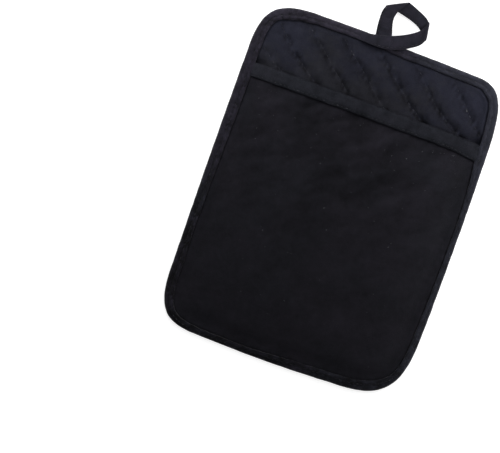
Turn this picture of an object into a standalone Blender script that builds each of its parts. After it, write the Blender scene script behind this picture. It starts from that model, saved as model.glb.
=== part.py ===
"""Pot holder of quilted cotton with a hand pocket and a hanging loop.

It lies on its back on the surface z = 0, pocket up. +X is across it, +Y is
towards the loop, and the origin is under the middle of its box. Sizes are in
millimetres up to the last step, which makes the meshes in metres.

Five sewn pieces, each its own solid: the quilted pad, the pocket's cloth, the
tape over the pocket's mouth, the tape round the edge, and the loop.
"""
import math
from collections import namedtuple

import bpy
import numpy as np
from mathutils import Vector, geometry

MM = 0.001
COLLECTION = "pot_holder"

# ---------------------------------------------------------------- outline
# Clockwise from the top left: where the two sides would meet, and how far the
# round corner reaches along each of them. The corners are unlike, as sewn.
Corner = namedtuple("Corner", "x y reach_x reach_y")
CORNERS = (
    Corner(-95.0, 128.0, 48.0, 40.0),
    Corner(96.0, 121.5, 25.0, 59.0),
    Corner(95.0, -124.0, 51.0, 58.0),
    Corner(-94.0, -123.5, 36.0, 41.0),
)
CORNER_FULLNESS = 0.78      # 0.55 would be a plain quarter round
SIDE_BOW = (0.6, 0.6, 1.2, 0.4)         # top, right, bottom, left
TOP_STEP = 1.6              # the top edge drops this much to the right of the loop
TOP_STEP_FROM, TOP_STEP_TO = -8.0, 15.0
CORNER_FACETS = 9
SIDE_FACETS = (11, 9, 8, 12)
EDGE_POINTS = 480           # of the outline that depths are measured from
STATION_STEP = 0.004        # for measuring the outline's direction
STATION_APART = 0.03        # stations closer than this are made one
SAMPLES = 400               # for finding a place along a stretch of the outline

# ------------------------------------------------------------- thicknesses
TAPE = 1.0
CLOTH = 1.0
GAP = 0.3                   # left between pieces that touch
PAD_RIM = 2.0               # the pad where the edge tape squeezes it
PAD_RIM_LOW = TAPE + GAP
POCKET_RIM = PAD_RIM_LOW + PAD_RIM + GAP + CLOTH / 2
BINDING_HEIGHT = POCKET_RIM + CLOTH / 2 + GAP + TAPE

# ------------------------------------------------------------ edge binding
# Visible width of the tape on the front. A station counts corners and sides
# in turn: 0 to 1 is the top left corner, 1 to 2 the top side, and so on.
Width = namedtuple("Width", "station front")
BINDING_WIDTHS = (
    Width(0.0, 8.5), Width(0.45, 7.9), Width(0.7, 9.1), Width(0.85, 8.2),
    Width(1.0, 7.3), Width(2.0, 7.0), Width(2.1, 6.9), Width(2.3, 8.0),
    Width(2.5, 6.9), Width(2.7, 7.5), Width(3.0, 7.2), Width(3.2, 4.8),
    Width(3.35, 4.2), Width(3.6, 4.4), Width(4.0, 5.2), Width(4.4, 5.6),
    Width(4.55, 7.3), Width(4.75, 7.7), Width(5.0, 7.2), Width(5.3, 7.0),
    Width(5.65, 4.9), Width(6.0, 5.0), Width(6.5, 6.4), Width(7.0, 7.5),
    Width(7.2, 6.8), Width(7.5, 7.8), Width(7.8, 8.5), Width(8.0, 8.5),
)
BINDING_BACK_WIDTH = 7.0
FOLD_REACH = 2.2            # how far in from the edge the tape's fold is round
FOLD_FACETS = 4
CLOTH_INSET = 2.8           # the pad's and the pocket's own edges, inside the fold

# ---------------------------------------------------------------- quilting
QUILT_ANGLE = math.radians(-41)         # the stitched lines run down to the right
QUILT_PITCH = 17.5
# The stitched lines that show above the pocket, by their distance from the
# middle of the outline. The rest follow at the pitch.
QUILT_LINES_SEEN = (33.0, 50.5, 67.5, 86.0, 104.3, 120.5)
QUILT_ROWS = (0.0, 0.1, 0.28, 0.5, 0.72, 0.9)       # across one channel
QUILT_STEP = 11.0           # along a channel
QUILT_REACH = 170.0         # further from the middle than any corner
PAD_INNER_FROM = 13.0       # points on the channels start this far in
MERGE_WITHIN = 1e-6         # points closer than this are made one
PAD_CREST = 5.0
PAD_VALLEY = 2.9
PAD_VALLEY_LOW = 1.2
PAD_LEVEL_TO, PAD_FULL_FROM = 9.5, 21.0     # in from the outline
PILLOW_POWER = 2.4
UNDERSIDE_FLAT = 1.5        # over 1 leaves a flat strip along each channel
PRESS_CLEARANCE = 0.35      # between the pad's crests and what presses on them

# ------------------------------------------------------------------ pocket
Mouth = namedtuple("Mouth", "x y band")
MOUTH = (                   # the folded edge, and the width of its tape
    Mouth(-92.0, 78.1, 10.6), Mouth(-40.0, 77.6, 10.9), Mouth(0.0, 77.4, 10.9),
    Mouth(30.0, 77.0, 11.3), Mouth(55.0, 77.0, 11.2), Mouth(70.0, 76.8, 11.6),
    Mouth(92.0, 75.9, 13.0),
)
MOUTH_CROSSINGS = (-9.0, -3.0, 4.0, 14.0, 20.0)     # extra stations, below the mouth
MOUTH_LEFT, MOUTH_RIGHT = (6.6, 7.99), (2.4, 4.4)   # stretches of the sides that it meets
TAPE_LEFT, TAPE_RIGHT = (6.9, 8.0), (2.05, 3.6)     # shorter ones that its tape ends at
TAPE_FROM, TAPE_TO = -86.0, 89.0        # rough ends of its tape
POCKET_LEFT, POCKET_RIGHT = (6.5, 8.0), (2.5, 4.5)  # the pocket's two sides
MOUTH_ZONE_MARGIN, MOUTH_ZONE_EASE = 7.0, 5.0       # the pad is pressed a little wider than the tape
NO_POCKET_EASE = 12.0       # the pad's rim thickens over this length above the mouth
MOUTH_FOLD_REACH = 1.8
MOUTH_CLOTH_INSET = 2.0
POCKET_RISE = 6.8           # how far the hand pocket stands open in the middle
MOUTH_RISE = 1.2            # and its mouth a little more
MOUTH_RISE_LENGTH = 34.0
RISE_FROM, RISE_LENGTH = 9.0, 42.0
RISE_EASE, RISE_EASE_LOSS = 12.0, 0.25  # the rise starts gently
# Soft troughs in the pocket's cloth, from one end to the other.
Trough = namedtuple("Trough", "x0 y0 x1 y1 width depth")
TROUGHS = (
    Trough(30.0, 25.0, 8.0, 4.0, 6.0, 0.9),
    Trough(-4.0, 65.0, -24.0, 50.0, 5.0, 0.7),
    Trough(-32.0, 64.0, -44.0, 55.0, 5.0, 0.6),
    Trough(0.0, 18.0, -24.0, -28.0, 8.0, 0.7),
    Trough(-58.0, 14.0, -80.0, 0.0, 9.0, 0.6),
)
POCKET_CELLS = (28, 28)     # across and down
MOUTH_CELLS = 30
MOUTH_GAP = 0.4             # between the pocket's cloth and its tape
END_CROWDING = 0.75         # cells are closer together near the sides

# ------------------------------------------------------------ hanging loop
LOOP_ORIGIN = (7.7, 129.1)  # the point that the rows below are measured from
LOOP_THICKNESS = 1.3
LOOP_EDGE = 0.4             # rounding of the folded tape's long edges
FOLD_TURNS = (25, 60, 90, 120, 155)     # degrees round a fold-over
LOOP_ZONE = (-23.0, 28.0)   # the edge tape is pressed flatter under the loop
LOOP_ZONE_EASE = 9.0
LOOP_PRESSED = CLOTH + GAP
# One row for each crossing of the tape, from its start on the edge binding:
# its left and right edges, seen along the tape from its start, and its height.
Crossing = namedtuple("Crossing", "left_x left_y right_x right_y height")
LOWER_BAND = (
    Crossing(-19.0, -3.2, -18.6, -10.9, 5.65),
    Crossing(-13.0, -2.0, -12.2, -10.8, 5.65),
    Crossing(-6.6, 0.4, -4.8, -9.4, 5.6),
    Crossing(-2.2, 1.7, 0.6, -7.6, 5.6),
    Crossing(1.9, 3.0, 5.4, -5.9, 5.5),
    Crossing(5.3, 5.2, 9.6, -2.8, 5.0),
    Crossing(8.6, 7.5, 12.9, -0.4, 4.3),
    Crossing(11.6, 10.3, 15.2, 2.1, 3.7),
)
UPPER_BAND = (
    Crossing(11.0, 21.6, 9.6, 13.4, 1.9),
    Crossing(4.9, 24.6, 2.5, 16.6, 1.8),
    Crossing(0.4, 26.4, -3.0, 18.2, 1.7),
)
LEFT_LIMB = (
    Crossing(-6.4, 21.8, -17.2, 16.6, 3.3),
    Crossing(-8.6, 18.2, -18.0, 14.2, 3.4),
    Crossing(-9.9, 14.4, -18.4, 11.6, 3.5),
    Crossing(-10.0, 10.2, -18.5, 8.6, 3.6),
    Crossing(-9.2, 6.2, -18.3, 5.2, 3.7),
    Crossing(-8.0, 2.4, -17.9, 1.6, 3.7),
    Crossing(-6.9, -2.6, -17.4, -2.2, 3.7),
)
# The two fold-overs: the crease's ends and the height of its middle.
Crease = namedtuple("Crease", "left_x left_y right_x right_y height")
RIGHT_CREASE = Crease(15.9, 17.8, 17.4, 6.6, 2.75)
TOP_CREASE = Crease(-3.4, 27.3, -15.9, 20.4, 2.45)

ROUGHNESS = 0.9
SMOOTH_ANGLE = 40           # degrees; sharper edges than this stay sharp
COLOURS = {                 # linear red, green and blue
    "quilt_cloth": (0.017, 0.017, 0.021),
    "pocket_cloth": (0.012, 0.012, 0.015),
    "binding_tape": (0.020, 0.020, 0.025),
}


# ----------------------------------------------------------------- helpers
def ease(value):
    """A smooth step from 0 at 0 to 1 at 1."""
    t = np.clip(value, 0.0, 1.0)
    return t * t * (3 - 2 * t)


def column(rows, name):
    """One named column of a table."""
    return np.array([getattr(row, name) for row in rows])


def shares(count):
    """count + 1 numbers from 0 to 1, closer together at both ends."""
    even = np.linspace(0.0, 1.0, count + 1)
    return END_CROWDING * (0.5 - 0.5 * np.cos(math.pi * even)) + (1 - END_CROWDING) * even


def resample(points, wanted):
    """Points at the wanted shares of the way along a line of points."""
    steps = np.linalg.norm(np.diff(points, axis=0), axis=1)
    length = np.concatenate(([0.0], np.cumsum(steps)))
    wanted = wanted * length[-1]
    return np.stack([np.interp(wanted, length, axis) for axis in points.T], axis=1)


# ----------------------------------------------------------------- outline
def corner_points(index, share):
    """A round corner: a cubic curve that leaves each side along that side."""
    corner = CORNERS[index]
    before, after = CORNERS[index - 1], CORNERS[(index + 1) % 4]
    apex = np.array([corner.x, corner.y])
    reach = [corner.reach_x, corner.reach_y]
    if index % 2 == 0:
        reach.reverse()
    ends = []
    for neighbour, length in ((before, reach[0]), (after, reach[1])):
        away = np.array([neighbour.x, neighbour.y]) - apex
        ends.append(apex + away / np.linalg.norm(away) * length)
    start, end = ends
    start_pull = start + (apex - start) * CORNER_FULLNESS
    end_pull = end + (apex - end) * CORNER_FULLNESS
    t = share[:, None]
    return ((1 - t) ** 3 * start + 3 * (1 - t) ** 2 * t * start_pull
            + 3 * (1 - t) * t ** 2 * end_pull + t ** 3 * end)


def side_points(index, share):
    """A side: straight between two corners, bowed out, and stepped at the top."""
    start = corner_points(index, np.array([1.0]))[0]
    end = corner_points((index + 1) % 4, np.array([0.0]))[0]
    outward = ((0, 1), (1, 0), (0, -1), (-1, 0))[index]
    t = share[:, None]
    points = start + (end - start) * t
    points = points + np.array(outward) * SIDE_BOW[index] * 4 * t * (1 - t)
    if index == 0:
        x = points[:, 0]
        step = ease((x - TOP_STEP_FROM) / (TOP_STEP_TO - TOP_STEP_FROM))
        points[:, 1] -= TOP_STEP * (step - share)
    return points


def outline(stations):
    """Points of the outline at station numbers from 0 to 8."""
    points = np.zeros((len(stations), 2))
    piece = np.floor(stations).astype(int) % 8
    share = stations - np.floor(stations)
    for index in range(4):
        at_corner = piece == 2 * index
        at_side = piece == 2 * index + 1
        points[at_corner] = corner_points(index, share[at_corner])
        points[at_side] = side_points(index, share[at_side])
    return points


def inset_outline(stations, inset):
    """The outline moved inwards along its own normals."""
    stations = np.asarray(stations, dtype=float)
    run = outline((stations + STATION_STEP) % 8) - outline((stations - STATION_STEP) % 8)
    run /= np.linalg.norm(run, axis=1)[:, None]
    inward = np.stack([run[:, 1], -run[:, 0]], axis=1)
    return outline(stations % 8) + inward * np.reshape(inset, (-1, 1))


def mouth_stations(first, last):
    """Stations where the pocket's mouth meets an edge, between two stations."""
    dense = np.linspace(first, last, SAMPLES)
    x, y = outline(dense).T
    below_mouth = mouth_line(x) - y
    order = np.argsort(below_mouth)
    return np.interp(MOUTH_CROSSINGS, below_mouth[order], dense[order])


def ring_stations():
    """Stations all the way round, closer on the corners and at the mouth."""
    stations = [mouth_stations(*MOUTH_LEFT), mouth_stations(*MOUTH_RIGHT)]
    for index in range(4):
        corner = np.arange(CORNER_FACETS) / CORNER_FACETS
        side = np.arange(SIDE_FACETS[index]) / SIDE_FACETS[index]
        stations += [2 * index + corner, 2 * index + 1 + side]
    stations = np.sort(np.concatenate(stations))
    apart = np.diff(stations, append=stations[0] + 8) > STATION_APART
    return stations[apart]


EDGE = outline(np.linspace(0, 8, EDGE_POINTS, endpoint=False))


def inset_of(x, y):
    """How far each point lies inside the outline."""
    run = np.roll(EDGE, -1, axis=0) - EDGE
    offset = np.stack([x, y], axis=1)[:, None, :] - EDGE[None]
    share = np.clip((offset * run).sum(2) / (run * run).sum(1), 0, 1)
    return np.linalg.norm(offset - run * share[..., None], axis=2).min(1)


def binding_width(stations):
    """Width of the edge tape on the front."""
    return np.interp(stations, column(BINDING_WIDTHS, "station"), column(BINDING_WIDTHS, "front"))


def loop_press(x, y):
    """1 where the loop's lower band lies on the edge tape, 0 away from it."""
    left, right = LOOP_ZONE
    across = ease((x - left) / LOOP_ZONE_EASE) * ease((right - x) / LOOP_ZONE_EASE)
    return across * (y > 0)


# ----------------------------------------------------------------- heights
def mouth_line(x):
    """The pocket's folded edge."""
    return np.interp(x, column(MOUTH, "x"), column(MOUTH, "y"))


def mouth_band(x):
    """Width of the tape on the pocket's edge."""
    return np.interp(x, column(MOUTH, "x"), column(MOUTH, "band"))


def trough_depth(x, y):
    """Depth of the soft troughs, each a rounded ditch along a line."""
    depth = np.zeros_like(x)
    for trough in TROUGHS:
        start = np.array([trough.x0, trough.y0])
        run = np.array([trough.x1, trough.y1]) - start
        dx, dy = x - start[0], y - start[1]
        share = np.clip((dx * run[0] + dy * run[1]) / run.dot(run), 0, 1)
        away = np.hypot(dx - share * run[0], dy - share * run[1])
        depth += trough.depth * np.exp(-(away / trough.width) ** 2)
    return depth


def pocket_middle(x, y):
    """Middle height of the pocket's cloth, which stands open over the pad."""
    beyond = np.maximum(inset_of(x, y) - RISE_FROM, 0)
    beyond *= ease(beyond / RISE_EASE) * (1 - RISE_EASE_LOSS) + RISE_EASE_LOSS
    rise = 1 - (1 - np.minimum(beyond / RISE_LENGTH, 1)) ** 2
    near_mouth = np.exp(-((mouth_line(x) - y) / MOUTH_RISE_LENGTH) ** 2)
    height = POCKET_RISE + MOUTH_RISE * near_mouth - trough_depth(x, y)
    return POCKET_RIM + rise * height


def mouth_zone(x, y):
    """1 on the band of the mouth's tape, 0 a little way off."""
    top = mouth_line(x)
    above = ease((top + MOUTH_ZONE_MARGIN - y) / MOUTH_ZONE_EASE)
    below = ease((y - top + mouth_band(x) + MOUTH_ZONE_MARGIN) / MOUTH_ZONE_EASE)
    return above * below


def quilt_lines():
    """Distances of all the stitched lines from the middle."""
    below = np.arange(QUILT_LINES_SEEN[0] - QUILT_PITCH, -QUILT_REACH, -QUILT_PITCH)[::-1]
    above = np.arange(QUILT_LINES_SEEN[-1] + QUILT_PITCH, QUILT_REACH, QUILT_PITCH)
    return np.concatenate([below, QUILT_LINES_SEEN, above])


def quilt_pillow(x, y):
    """0 on a stitched line, 1 on the crest between two of them."""
    across = -x * math.sin(QUILT_ANGLE) + y * math.cos(QUILT_ANGLE)
    lines = quilt_lines()
    share = np.interp(across, lines, np.arange(len(lines))) % 1.0
    return 1 - np.abs(2 * share - 1) ** PILLOW_POWER


def pad_rim(x, y):
    """Top of the pad under the edge tape: thicker where no pocket lies on it."""
    top = mouth_line(x)
    no_pocket = ease((y - top) / NO_POCKET_EASE)
    rim = PAD_RIM_LOW + PAD_RIM + no_pocket * (CLOTH + GAP)
    rim -= loop_press(x, y) * LOOP_PRESSED
    return rim - mouth_zone(x, y) * (TAPE + GAP)


def pad_heights(x, y):
    """Underside and top of the quilted pad."""
    full = ease((inset_of(x, y) - PAD_LEVEL_TO) / (PAD_FULL_FROM - PAD_LEVEL_TO))
    pillow = quilt_pillow(x, y)
    quilt = PAD_VALLEY + (PAD_CREST - PAD_VALLEY) * pillow
    top = pad_rim(x, y)
    top += full * (quilt - top)
    under_pocket = pocket_middle(x, y) - CLOTH / 2 - GAP - mouth_zone(x, y) * (TAPE + GAP)
    covered = y < mouth_line(x) + MOUTH_ZONE_MARGIN
    top = np.where(covered, np.minimum(top, under_pocket - PRESS_CLEARANCE), top)
    under = PAD_VALLEY_LOW * (1 - np.minimum(pillow * UNDERSIDE_FLAT, 1.0))
    low = PAD_RIM_LOW + full * (under - PAD_RIM_LOW)
    return low, top


# ------------------------------------------------------------ mesh helpers
def finish(name, slot, vertices, faces):
    """A named object from points in millimetres, with its own material."""
    mesh = bpy.data.meshes.new(name)
    mesh.from_pydata((np.asarray(vertices) * MM).tolist(), [], faces)
    mesh.validate()
    mesh.shade_smooth()
    mesh.set_sharp_from_angle(angle=math.radians(SMOOTH_ANGLE))
    material = bpy.data.materials.new(slot + "_" + name)
    material.use_nodes = True
    shader = material.node_tree.nodes["Principled BSDF"]
    shader.inputs["Base Color"].default_value = (*COLOURS[slot], 1.0)
    shader.inputs["Roughness"].default_value = ROUGHNESS
    shader.inputs["Metallic"].default_value = 0.0
    mesh.materials.append(material)
    made = bpy.data.objects.new(name, mesh)
    bpy.data.collections[COLLECTION].objects.link(made)
    return made


def grid_faces(rows, columns, close_rows=False):
    """Quads between the points of a grid, which may close on itself."""
    faces = []
    for row in range(rows if close_rows else rows - 1):
        following = (row + 1) % rows
        for step in range(columns - 1):
            here, there = row * columns + step, following * columns + step
            faces.append((here, here + 1, there + 1, there))
    return faces


def give_thickness(made, thickness):
    """Make a closed sheet of an open surface, half of it on each side."""
    shell = made.modifiers.new("thickness", "SOLIDIFY")
    shell.thickness = thickness * MM
    shell.offset = 0.0
    shell.use_even_offset = True
    shell.use_rim = True
    return made


# ----------------------------------------------------------------- pieces
def pad_points():
    """Flat points of the pad: rings at its rim, then rows along the quilting."""
    stations = ring_stations()
    rings = [inset_outline(stations, inset) for inset in (CLOTH_INSET, PAD_LEVEL_TO)]
    along = np.array([math.cos(QUILT_ANGLE), math.sin(QUILT_ANGLE)])
    across = np.array([-math.sin(QUILT_ANGLE), math.cos(QUILT_ANGLE)])
    lines = quilt_lines()
    rows = np.interp(np.add.outer(np.arange(len(lines) - 1), QUILT_ROWS).ravel(),
                     np.arange(len(lines)), lines)
    steps = np.arange(-QUILT_REACH, QUILT_REACH, QUILT_STEP)
    shift = np.arange(len(rows)) % 2 * QUILT_STEP / 2
    points = (across * rows[:, None, None]
              + along * (steps + shift[:, None])[..., None]).reshape(-1, 2)
    x, y = points.T
    low, high = EDGE.min(0), EDGE.max(0)
    inside = (x > low[0]) & (x < high[0]) & (y > low[1]) & (y < high[1])
    points = points[inside]
    ring = Polygon(EDGE)
    points = points[ring.holds(points) & (inset_of(*points.T) > PAD_INNER_FROM)]
    return rings, points


class Polygon:
    """A closed outline that can tell which points lie inside it."""

    def __init__(self, corners):
        self.start = corners
        self.end = np.roll(corners, -1, axis=0)

    def holds(self, points):
        """Count the sides that a ray to the right of each point crosses."""
        x, y = points[:, :1], points[:, 1:]
        x0, y0 = self.start.T
        x1, y1 = self.end.T
        spans = (y0 > y) != (y1 > y)
        rise = np.where(y1 == y0, 1.0, y1 - y0)
        crossing = x0 + (y - y0) * (x1 - x0) / rise
        return (spans & (crossing > x)).sum(1) % 2 == 1


def build_pad():
    """The quilted pad: one triangulated plan, given an underside and a top."""
    rings, inner = pad_points()
    count = len(rings[0])
    plan = np.concatenate(rings + [inner])
    border = [(i, (i + 1) % count) for i in range(count)]
    fixed, _, triangles = geometry.delaunay_2d_cdt(
        [Vector(point) for point in plan], border, [], 1, MERGE_WITHIN)[:3]
    plan = np.array([point[:] for point in fixed])
    low, top = pad_heights(*plan.T)
    vertices = np.concatenate([np.column_stack([plan, top]), np.column_stack([plan, low])])
    total = len(plan)
    faces = [tuple(face) for face in triangles]
    faces += [tuple(index + total for index in reversed(face)) for face in triangles]
    sides = {(face[i], face[(i + 1) % 3]) for face in triangles for i in range(3)}
    rim = [side for side in sides if (side[1], side[0]) not in sides]
    faces += [(b, a, a + total, b + total) for a, b in sorted(rim)]
    return finish("back_panel", "quilt_cloth", vertices, faces)


def pocket_side(first, last):
    """The pocket cloth's edge between two stations, below the mouth."""
    points = inset_outline(np.linspace(first, last, SAMPLES), CLOTH_INSET)
    return points[points[:, 1] < mouth_line(points[:, 0]) - MOUTH_CLOTH_INSET]


def patch(top, right, bottom, left):
    """Fill four edges, each given from its left or upper end, with a grid."""
    s = shares(len(top) - 1)[None, :, None]
    t = shares(len(left) - 1)[:, None, None]
    between = (1 - t) * top[None] + t * bottom[None] + (1 - s) * left[:, None] + s * right[:, None]
    corners = ((1 - s) * (1 - t) * top[0] + s * (1 - t) * top[-1]
               + (1 - s) * t * bottom[0] + s * t * bottom[-1])
    return (between - corners).reshape(-1, 2)


def build_pocket():
    """The pocket's cloth: a sheet that stands a little open over the pad."""
    across, down = POCKET_CELLS
    left = resample(pocket_side(*POCKET_LEFT)[::-1], shares(down))
    right = resample(pocket_side(*POCKET_RIGHT), shares(down))
    below = np.linspace(POCKET_LEFT[0], POCKET_RIGHT[1], SAMPLES)
    bottom = resample(inset_outline(below, CLOTH_INSET), shares(across))
    x = left[0, 0] + (right[0, 0] - left[0, 0]) * shares(across)
    top = np.column_stack([x, mouth_line(x) - MOUTH_CLOTH_INSET])
    top[0], top[-1] = left[0], right[0]
    plan = patch(top, right, bottom, left)
    vertices = np.column_stack([plan, pocket_middle(*plan.T)])
    made = finish("pocket_panel", "pocket_cloth", vertices, grid_faces(down + 1, across + 1))
    return give_thickness(made, CLOTH)


def fold_section(front, back, reach, half_height):
    """Section of a tape folded over an edge: distance in, and height.

    front and back are the widths of its two legs, and half_height is from the
    fold's middle to the middle of a leg's tape. Returns arrays whose last axis
    runs from the front leg's edge round the fold to the back leg's edge.
    """
    turn = np.radians(np.linspace(90, -90, 2 * FOLD_FACETS + 1))[:, None]
    start = TAPE / 2
    fold = np.tile(start + reach * (1 - np.cos(turn)), len(front))
    front_leg = np.stack([front, (front + start + reach) / 2])
    back_leg = np.stack([(back + start + reach) / 2, back])
    inset = np.concatenate([front_leg, fold, back_leg])
    level = np.stack([half_height, half_height])
    height = np.concatenate([level, half_height * np.sin(turn), -level])
    return inset.T, height.T


def build_edge_binding():
    """The tape round the edge, folded over the pad and the pocket."""
    stations = ring_stations()
    front = binding_width(stations)
    back = np.full_like(front, BINDING_BACK_WIDTH)
    edge = outline(stations)
    height = BINDING_HEIGHT - loop_press(*edge.T) * LOOP_PRESSED
    half = (height - TAPE) / 2
    inset, level = fold_section(front, back, FOLD_REACH, half)
    count = inset.shape[1]
    plan = inset_outline(np.repeat(stations, count), inset.ravel())
    z = (height / 2)[:, None] + level
    vertices = np.column_stack([plan, z.ravel()])
    faces = grid_faces(len(stations), count, close_rows=True)
    made = finish("edge_binding", "binding_tape", vertices, faces)
    return give_thickness(made, TAPE)


def build_mouth_binding():
    """The tape over the pocket's mouth, between the two sides of the edge tape."""
    share = shares(MOUTH_CELLS)
    dense_left, dense_right = np.linspace(*TAPE_LEFT, SAMPLES), np.linspace(*TAPE_RIGHT, SAMPLES)
    inner_left = inset_outline(dense_left, binding_width(dense_left) + GAP)
    inner_right = inset_outline(dense_right, binding_width(dense_right) + GAP)[::-1]
    x = TAPE_FROM + (TAPE_TO - TAPE_FROM) * share
    front = mouth_band(x)
    half = np.full_like(x, CLOTH / 2 + MOUTH_GAP + TAPE / 2)
    inset, level = fold_section(front, front, MOUTH_FOLD_REACH, half)
    y = mouth_line(x)[:, None] - inset
    start = np.interp(y, inner_left[:, 1], inner_left[:, 0])
    end = np.interp(y, inner_right[:, 1], inner_right[:, 0])
    x = start + (end - start) * share[:, None]
    z = pocket_middle(x.ravel(), y.ravel()) + level.ravel()
    vertices = np.column_stack([x.ravel(), y.ravel(), z])
    faces = grid_faces(len(share), inset.shape[1])
    made = finish("mouth_binding", "binding_tape", vertices, faces)
    return give_thickness(made, TAPE)


def fold_over(crease, first_turn, last_turn):
    """Crossings round a fold-over, as middle points with their outward turn.

    The tape's middle goes half way round an axis that runs along the crease,
    one bend radius and half a thickness inside it.
    """
    radius = (LOOP_THICKNESS + GAP) / 2
    left = np.array([crease.left_x, crease.left_y])
    right = np.array([crease.right_x, crease.right_y])
    run = (left - right) / np.linalg.norm(left - right)
    outward = np.array([run[1], -run[0]]) * np.sign(last_turn - first_turn)
    rows = []
    for turn in (0, *FOLD_TURNS, 180):
        angle = math.radians(first_turn + (last_turn - first_turn) * turn / 180)
        reach = radius * math.sin(angle) - radius - LOOP_THICKNESS / 2
        height = crease.height + radius * math.cos(angle)
        normal = np.array([*(outward * math.sin(angle)), math.cos(angle)])
        rows.append((left + outward * reach, right + outward * reach, height, normal))
    return rows


def loop_rows():
    """All crossings of the loop: left edge, right edge, height and normal."""
    def flat(table, up):
        return [(np.array([row.left_x, row.left_y]), np.array([row.right_x, row.right_y]),
                 row.height, np.array([0.0, 0.0, up])) for row in table]

    return (flat(LOWER_BAND, 1.0) + fold_over(RIGHT_CREASE, 0, 180)
            + flat(UPPER_BAND, -1.0) + fold_over(TOP_CREASE, 180, 0)
            + flat(LEFT_LIMB, 1.0))


def build_loop():
    """The hanging loop: a tape folded over twice, one closed band."""
    half = LOOP_THICKNESS / 2
    vertices = []
    for left, right, height, normal in loop_rows():
        middle = np.array([[*left, height], [*right, height]])
        across = (middle[1] - middle[0]) / np.linalg.norm(middle[1] - middle[0])
        inner = (middle[0] + across * LOOP_EDGE, middle[1] - across * LOOP_EDGE)
        centre = (inner[0] + inner[1]) / 2
        vertices += [middle[0], inner[0] + normal * half, centre + normal * half,
                     inner[1] + normal * half, middle[1], inner[1] - normal * half,
                     centre - normal * half, inner[0] - normal * half]
    vertices = np.array(vertices) + np.array([*LOOP_ORIGIN, 0.0])
    sides = 8
    rows = len(vertices) // sides
    faces = []
    for row in range(rows - 1):
        for side in range(sides):
            here, beside = row * sides + side, row * sides + (side + 1) % sides
            faces.append((here, beside, beside + sides, here + sides))
    faces.append(tuple(range(sides))[::-1])
    faces.append(tuple((rows - 1) * sides + side for side in range(sides)))
    return finish("hanging_loop", "binding_tape", vertices, faces)


def centre_on_origin(pieces):
    """Move every mesh so that the middle of their box is over the origin."""
    depsgraph = bpy.context.evaluated_depsgraph_get()
    points = []
    for piece in pieces:
        shape = piece.evaluated_get(depsgraph)
        points += [vertex.co[:2] for vertex in shape.to_mesh().vertices]
        shape.to_mesh_clear()
    middle = (np.min(points, axis=0) + np.max(points, axis=0)) / 2
    for piece in pieces:
        for vertex in piece.data.vertices:
            vertex.co.x -= middle[0]
            vertex.co.y -= middle[1]


def main():
    """Clear the scene and make the five pieces."""
    for old in list(bpy.data.objects):
        bpy.data.objects.remove(old)
    bpy.context.scene.collection.children.link(bpy.data.collections.new(COLLECTION))
    pieces = [build_pad(), build_pocket(), build_mouth_binding(), build_edge_binding(),
              build_loop()]
    centre_on_origin(pieces)


main()
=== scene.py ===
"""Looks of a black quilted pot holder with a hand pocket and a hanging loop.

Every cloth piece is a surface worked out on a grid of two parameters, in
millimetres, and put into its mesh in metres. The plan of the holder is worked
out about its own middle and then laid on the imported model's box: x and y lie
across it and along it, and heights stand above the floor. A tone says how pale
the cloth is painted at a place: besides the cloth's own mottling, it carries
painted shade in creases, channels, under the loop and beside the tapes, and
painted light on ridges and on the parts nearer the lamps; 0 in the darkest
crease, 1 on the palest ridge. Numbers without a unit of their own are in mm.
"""
from __future__ import annotations

import logging
import math
from dataclasses import dataclass, field
from enum import Enum
from functools import cache
from typing import NamedTuple

import bmesh
import bpy
import numpy as np
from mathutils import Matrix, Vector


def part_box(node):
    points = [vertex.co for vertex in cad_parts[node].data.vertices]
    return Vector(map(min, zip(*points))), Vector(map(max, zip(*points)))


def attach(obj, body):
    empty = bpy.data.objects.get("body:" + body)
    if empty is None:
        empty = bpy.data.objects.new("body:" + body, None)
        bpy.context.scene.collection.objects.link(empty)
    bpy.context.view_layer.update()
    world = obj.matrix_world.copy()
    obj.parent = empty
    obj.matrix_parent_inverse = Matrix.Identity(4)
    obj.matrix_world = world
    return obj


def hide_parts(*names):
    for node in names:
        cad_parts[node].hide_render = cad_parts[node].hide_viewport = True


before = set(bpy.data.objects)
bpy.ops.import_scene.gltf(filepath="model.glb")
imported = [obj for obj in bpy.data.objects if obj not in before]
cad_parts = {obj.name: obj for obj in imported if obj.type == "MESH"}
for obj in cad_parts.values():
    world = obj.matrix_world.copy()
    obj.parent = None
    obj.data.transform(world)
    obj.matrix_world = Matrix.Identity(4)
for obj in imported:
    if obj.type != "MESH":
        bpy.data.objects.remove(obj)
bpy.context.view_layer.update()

Array = np.ndarray
Colour = tuple[float, float, float]
LOG = logging.getLogger("pot_holder")
MM = 0.001
UP = np.array([0.0, 0.0, 1.0])
STATIONS = 8                # round the outline: four corners and four sides
BODY = "root"


class Slot(Enum):
    """The record's material slots."""

    QUILT = "quilt_cloth"
    POCKET = "pocket_cloth"
    TAPE = "binding_tape"


# ------------------------------------------------------------------ numbers
def ease(value: Array) -> Array:
    """Smooth step: 0 up to 0, 1 from 1 on, and 3 t squared less 2 t cubed between."""
    t = np.clip(value, 0.0, 1.0)
    return t * t * (3 - 2 * t)


def bell(value: Array) -> Array:
    """A rounded bump: 1 at 0, falling as e to the minus value squared."""
    return np.exp(-np.square(value))


def fading(distance: Array, length: float) -> Array:
    """1 up to a distance of 0, and falling beyond it as e to the minus distance over length."""
    return np.exp(-np.maximum(distance, 0) / length)


def unit(vectors: Array) -> Array:
    """Vectors, one a row, made 1 long."""
    return vectors / np.linalg.norm(vectors, axis=1)[:, None]


def along(points: Array) -> Array:
    """Distance from the first point to each point of a line."""
    steps = np.linalg.norm(np.diff(points, axis=0), axis=1)
    return np.concatenate(([0.0], np.cumsum(steps)))


def rows_at(wanted: Array, length: Array, rows: Array) -> Array:
    """Rows at the wanted lengths, blended between the given rows and their lengths."""
    return np.stack([np.interp(wanted, length, column) for column in rows.T], axis=1)


def resample(points: Array, share: Array) -> Array:
    """Points at shares of the way along a line of points."""
    length = along(points)
    return rows_at(share * length[-1], length, points)


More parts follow.
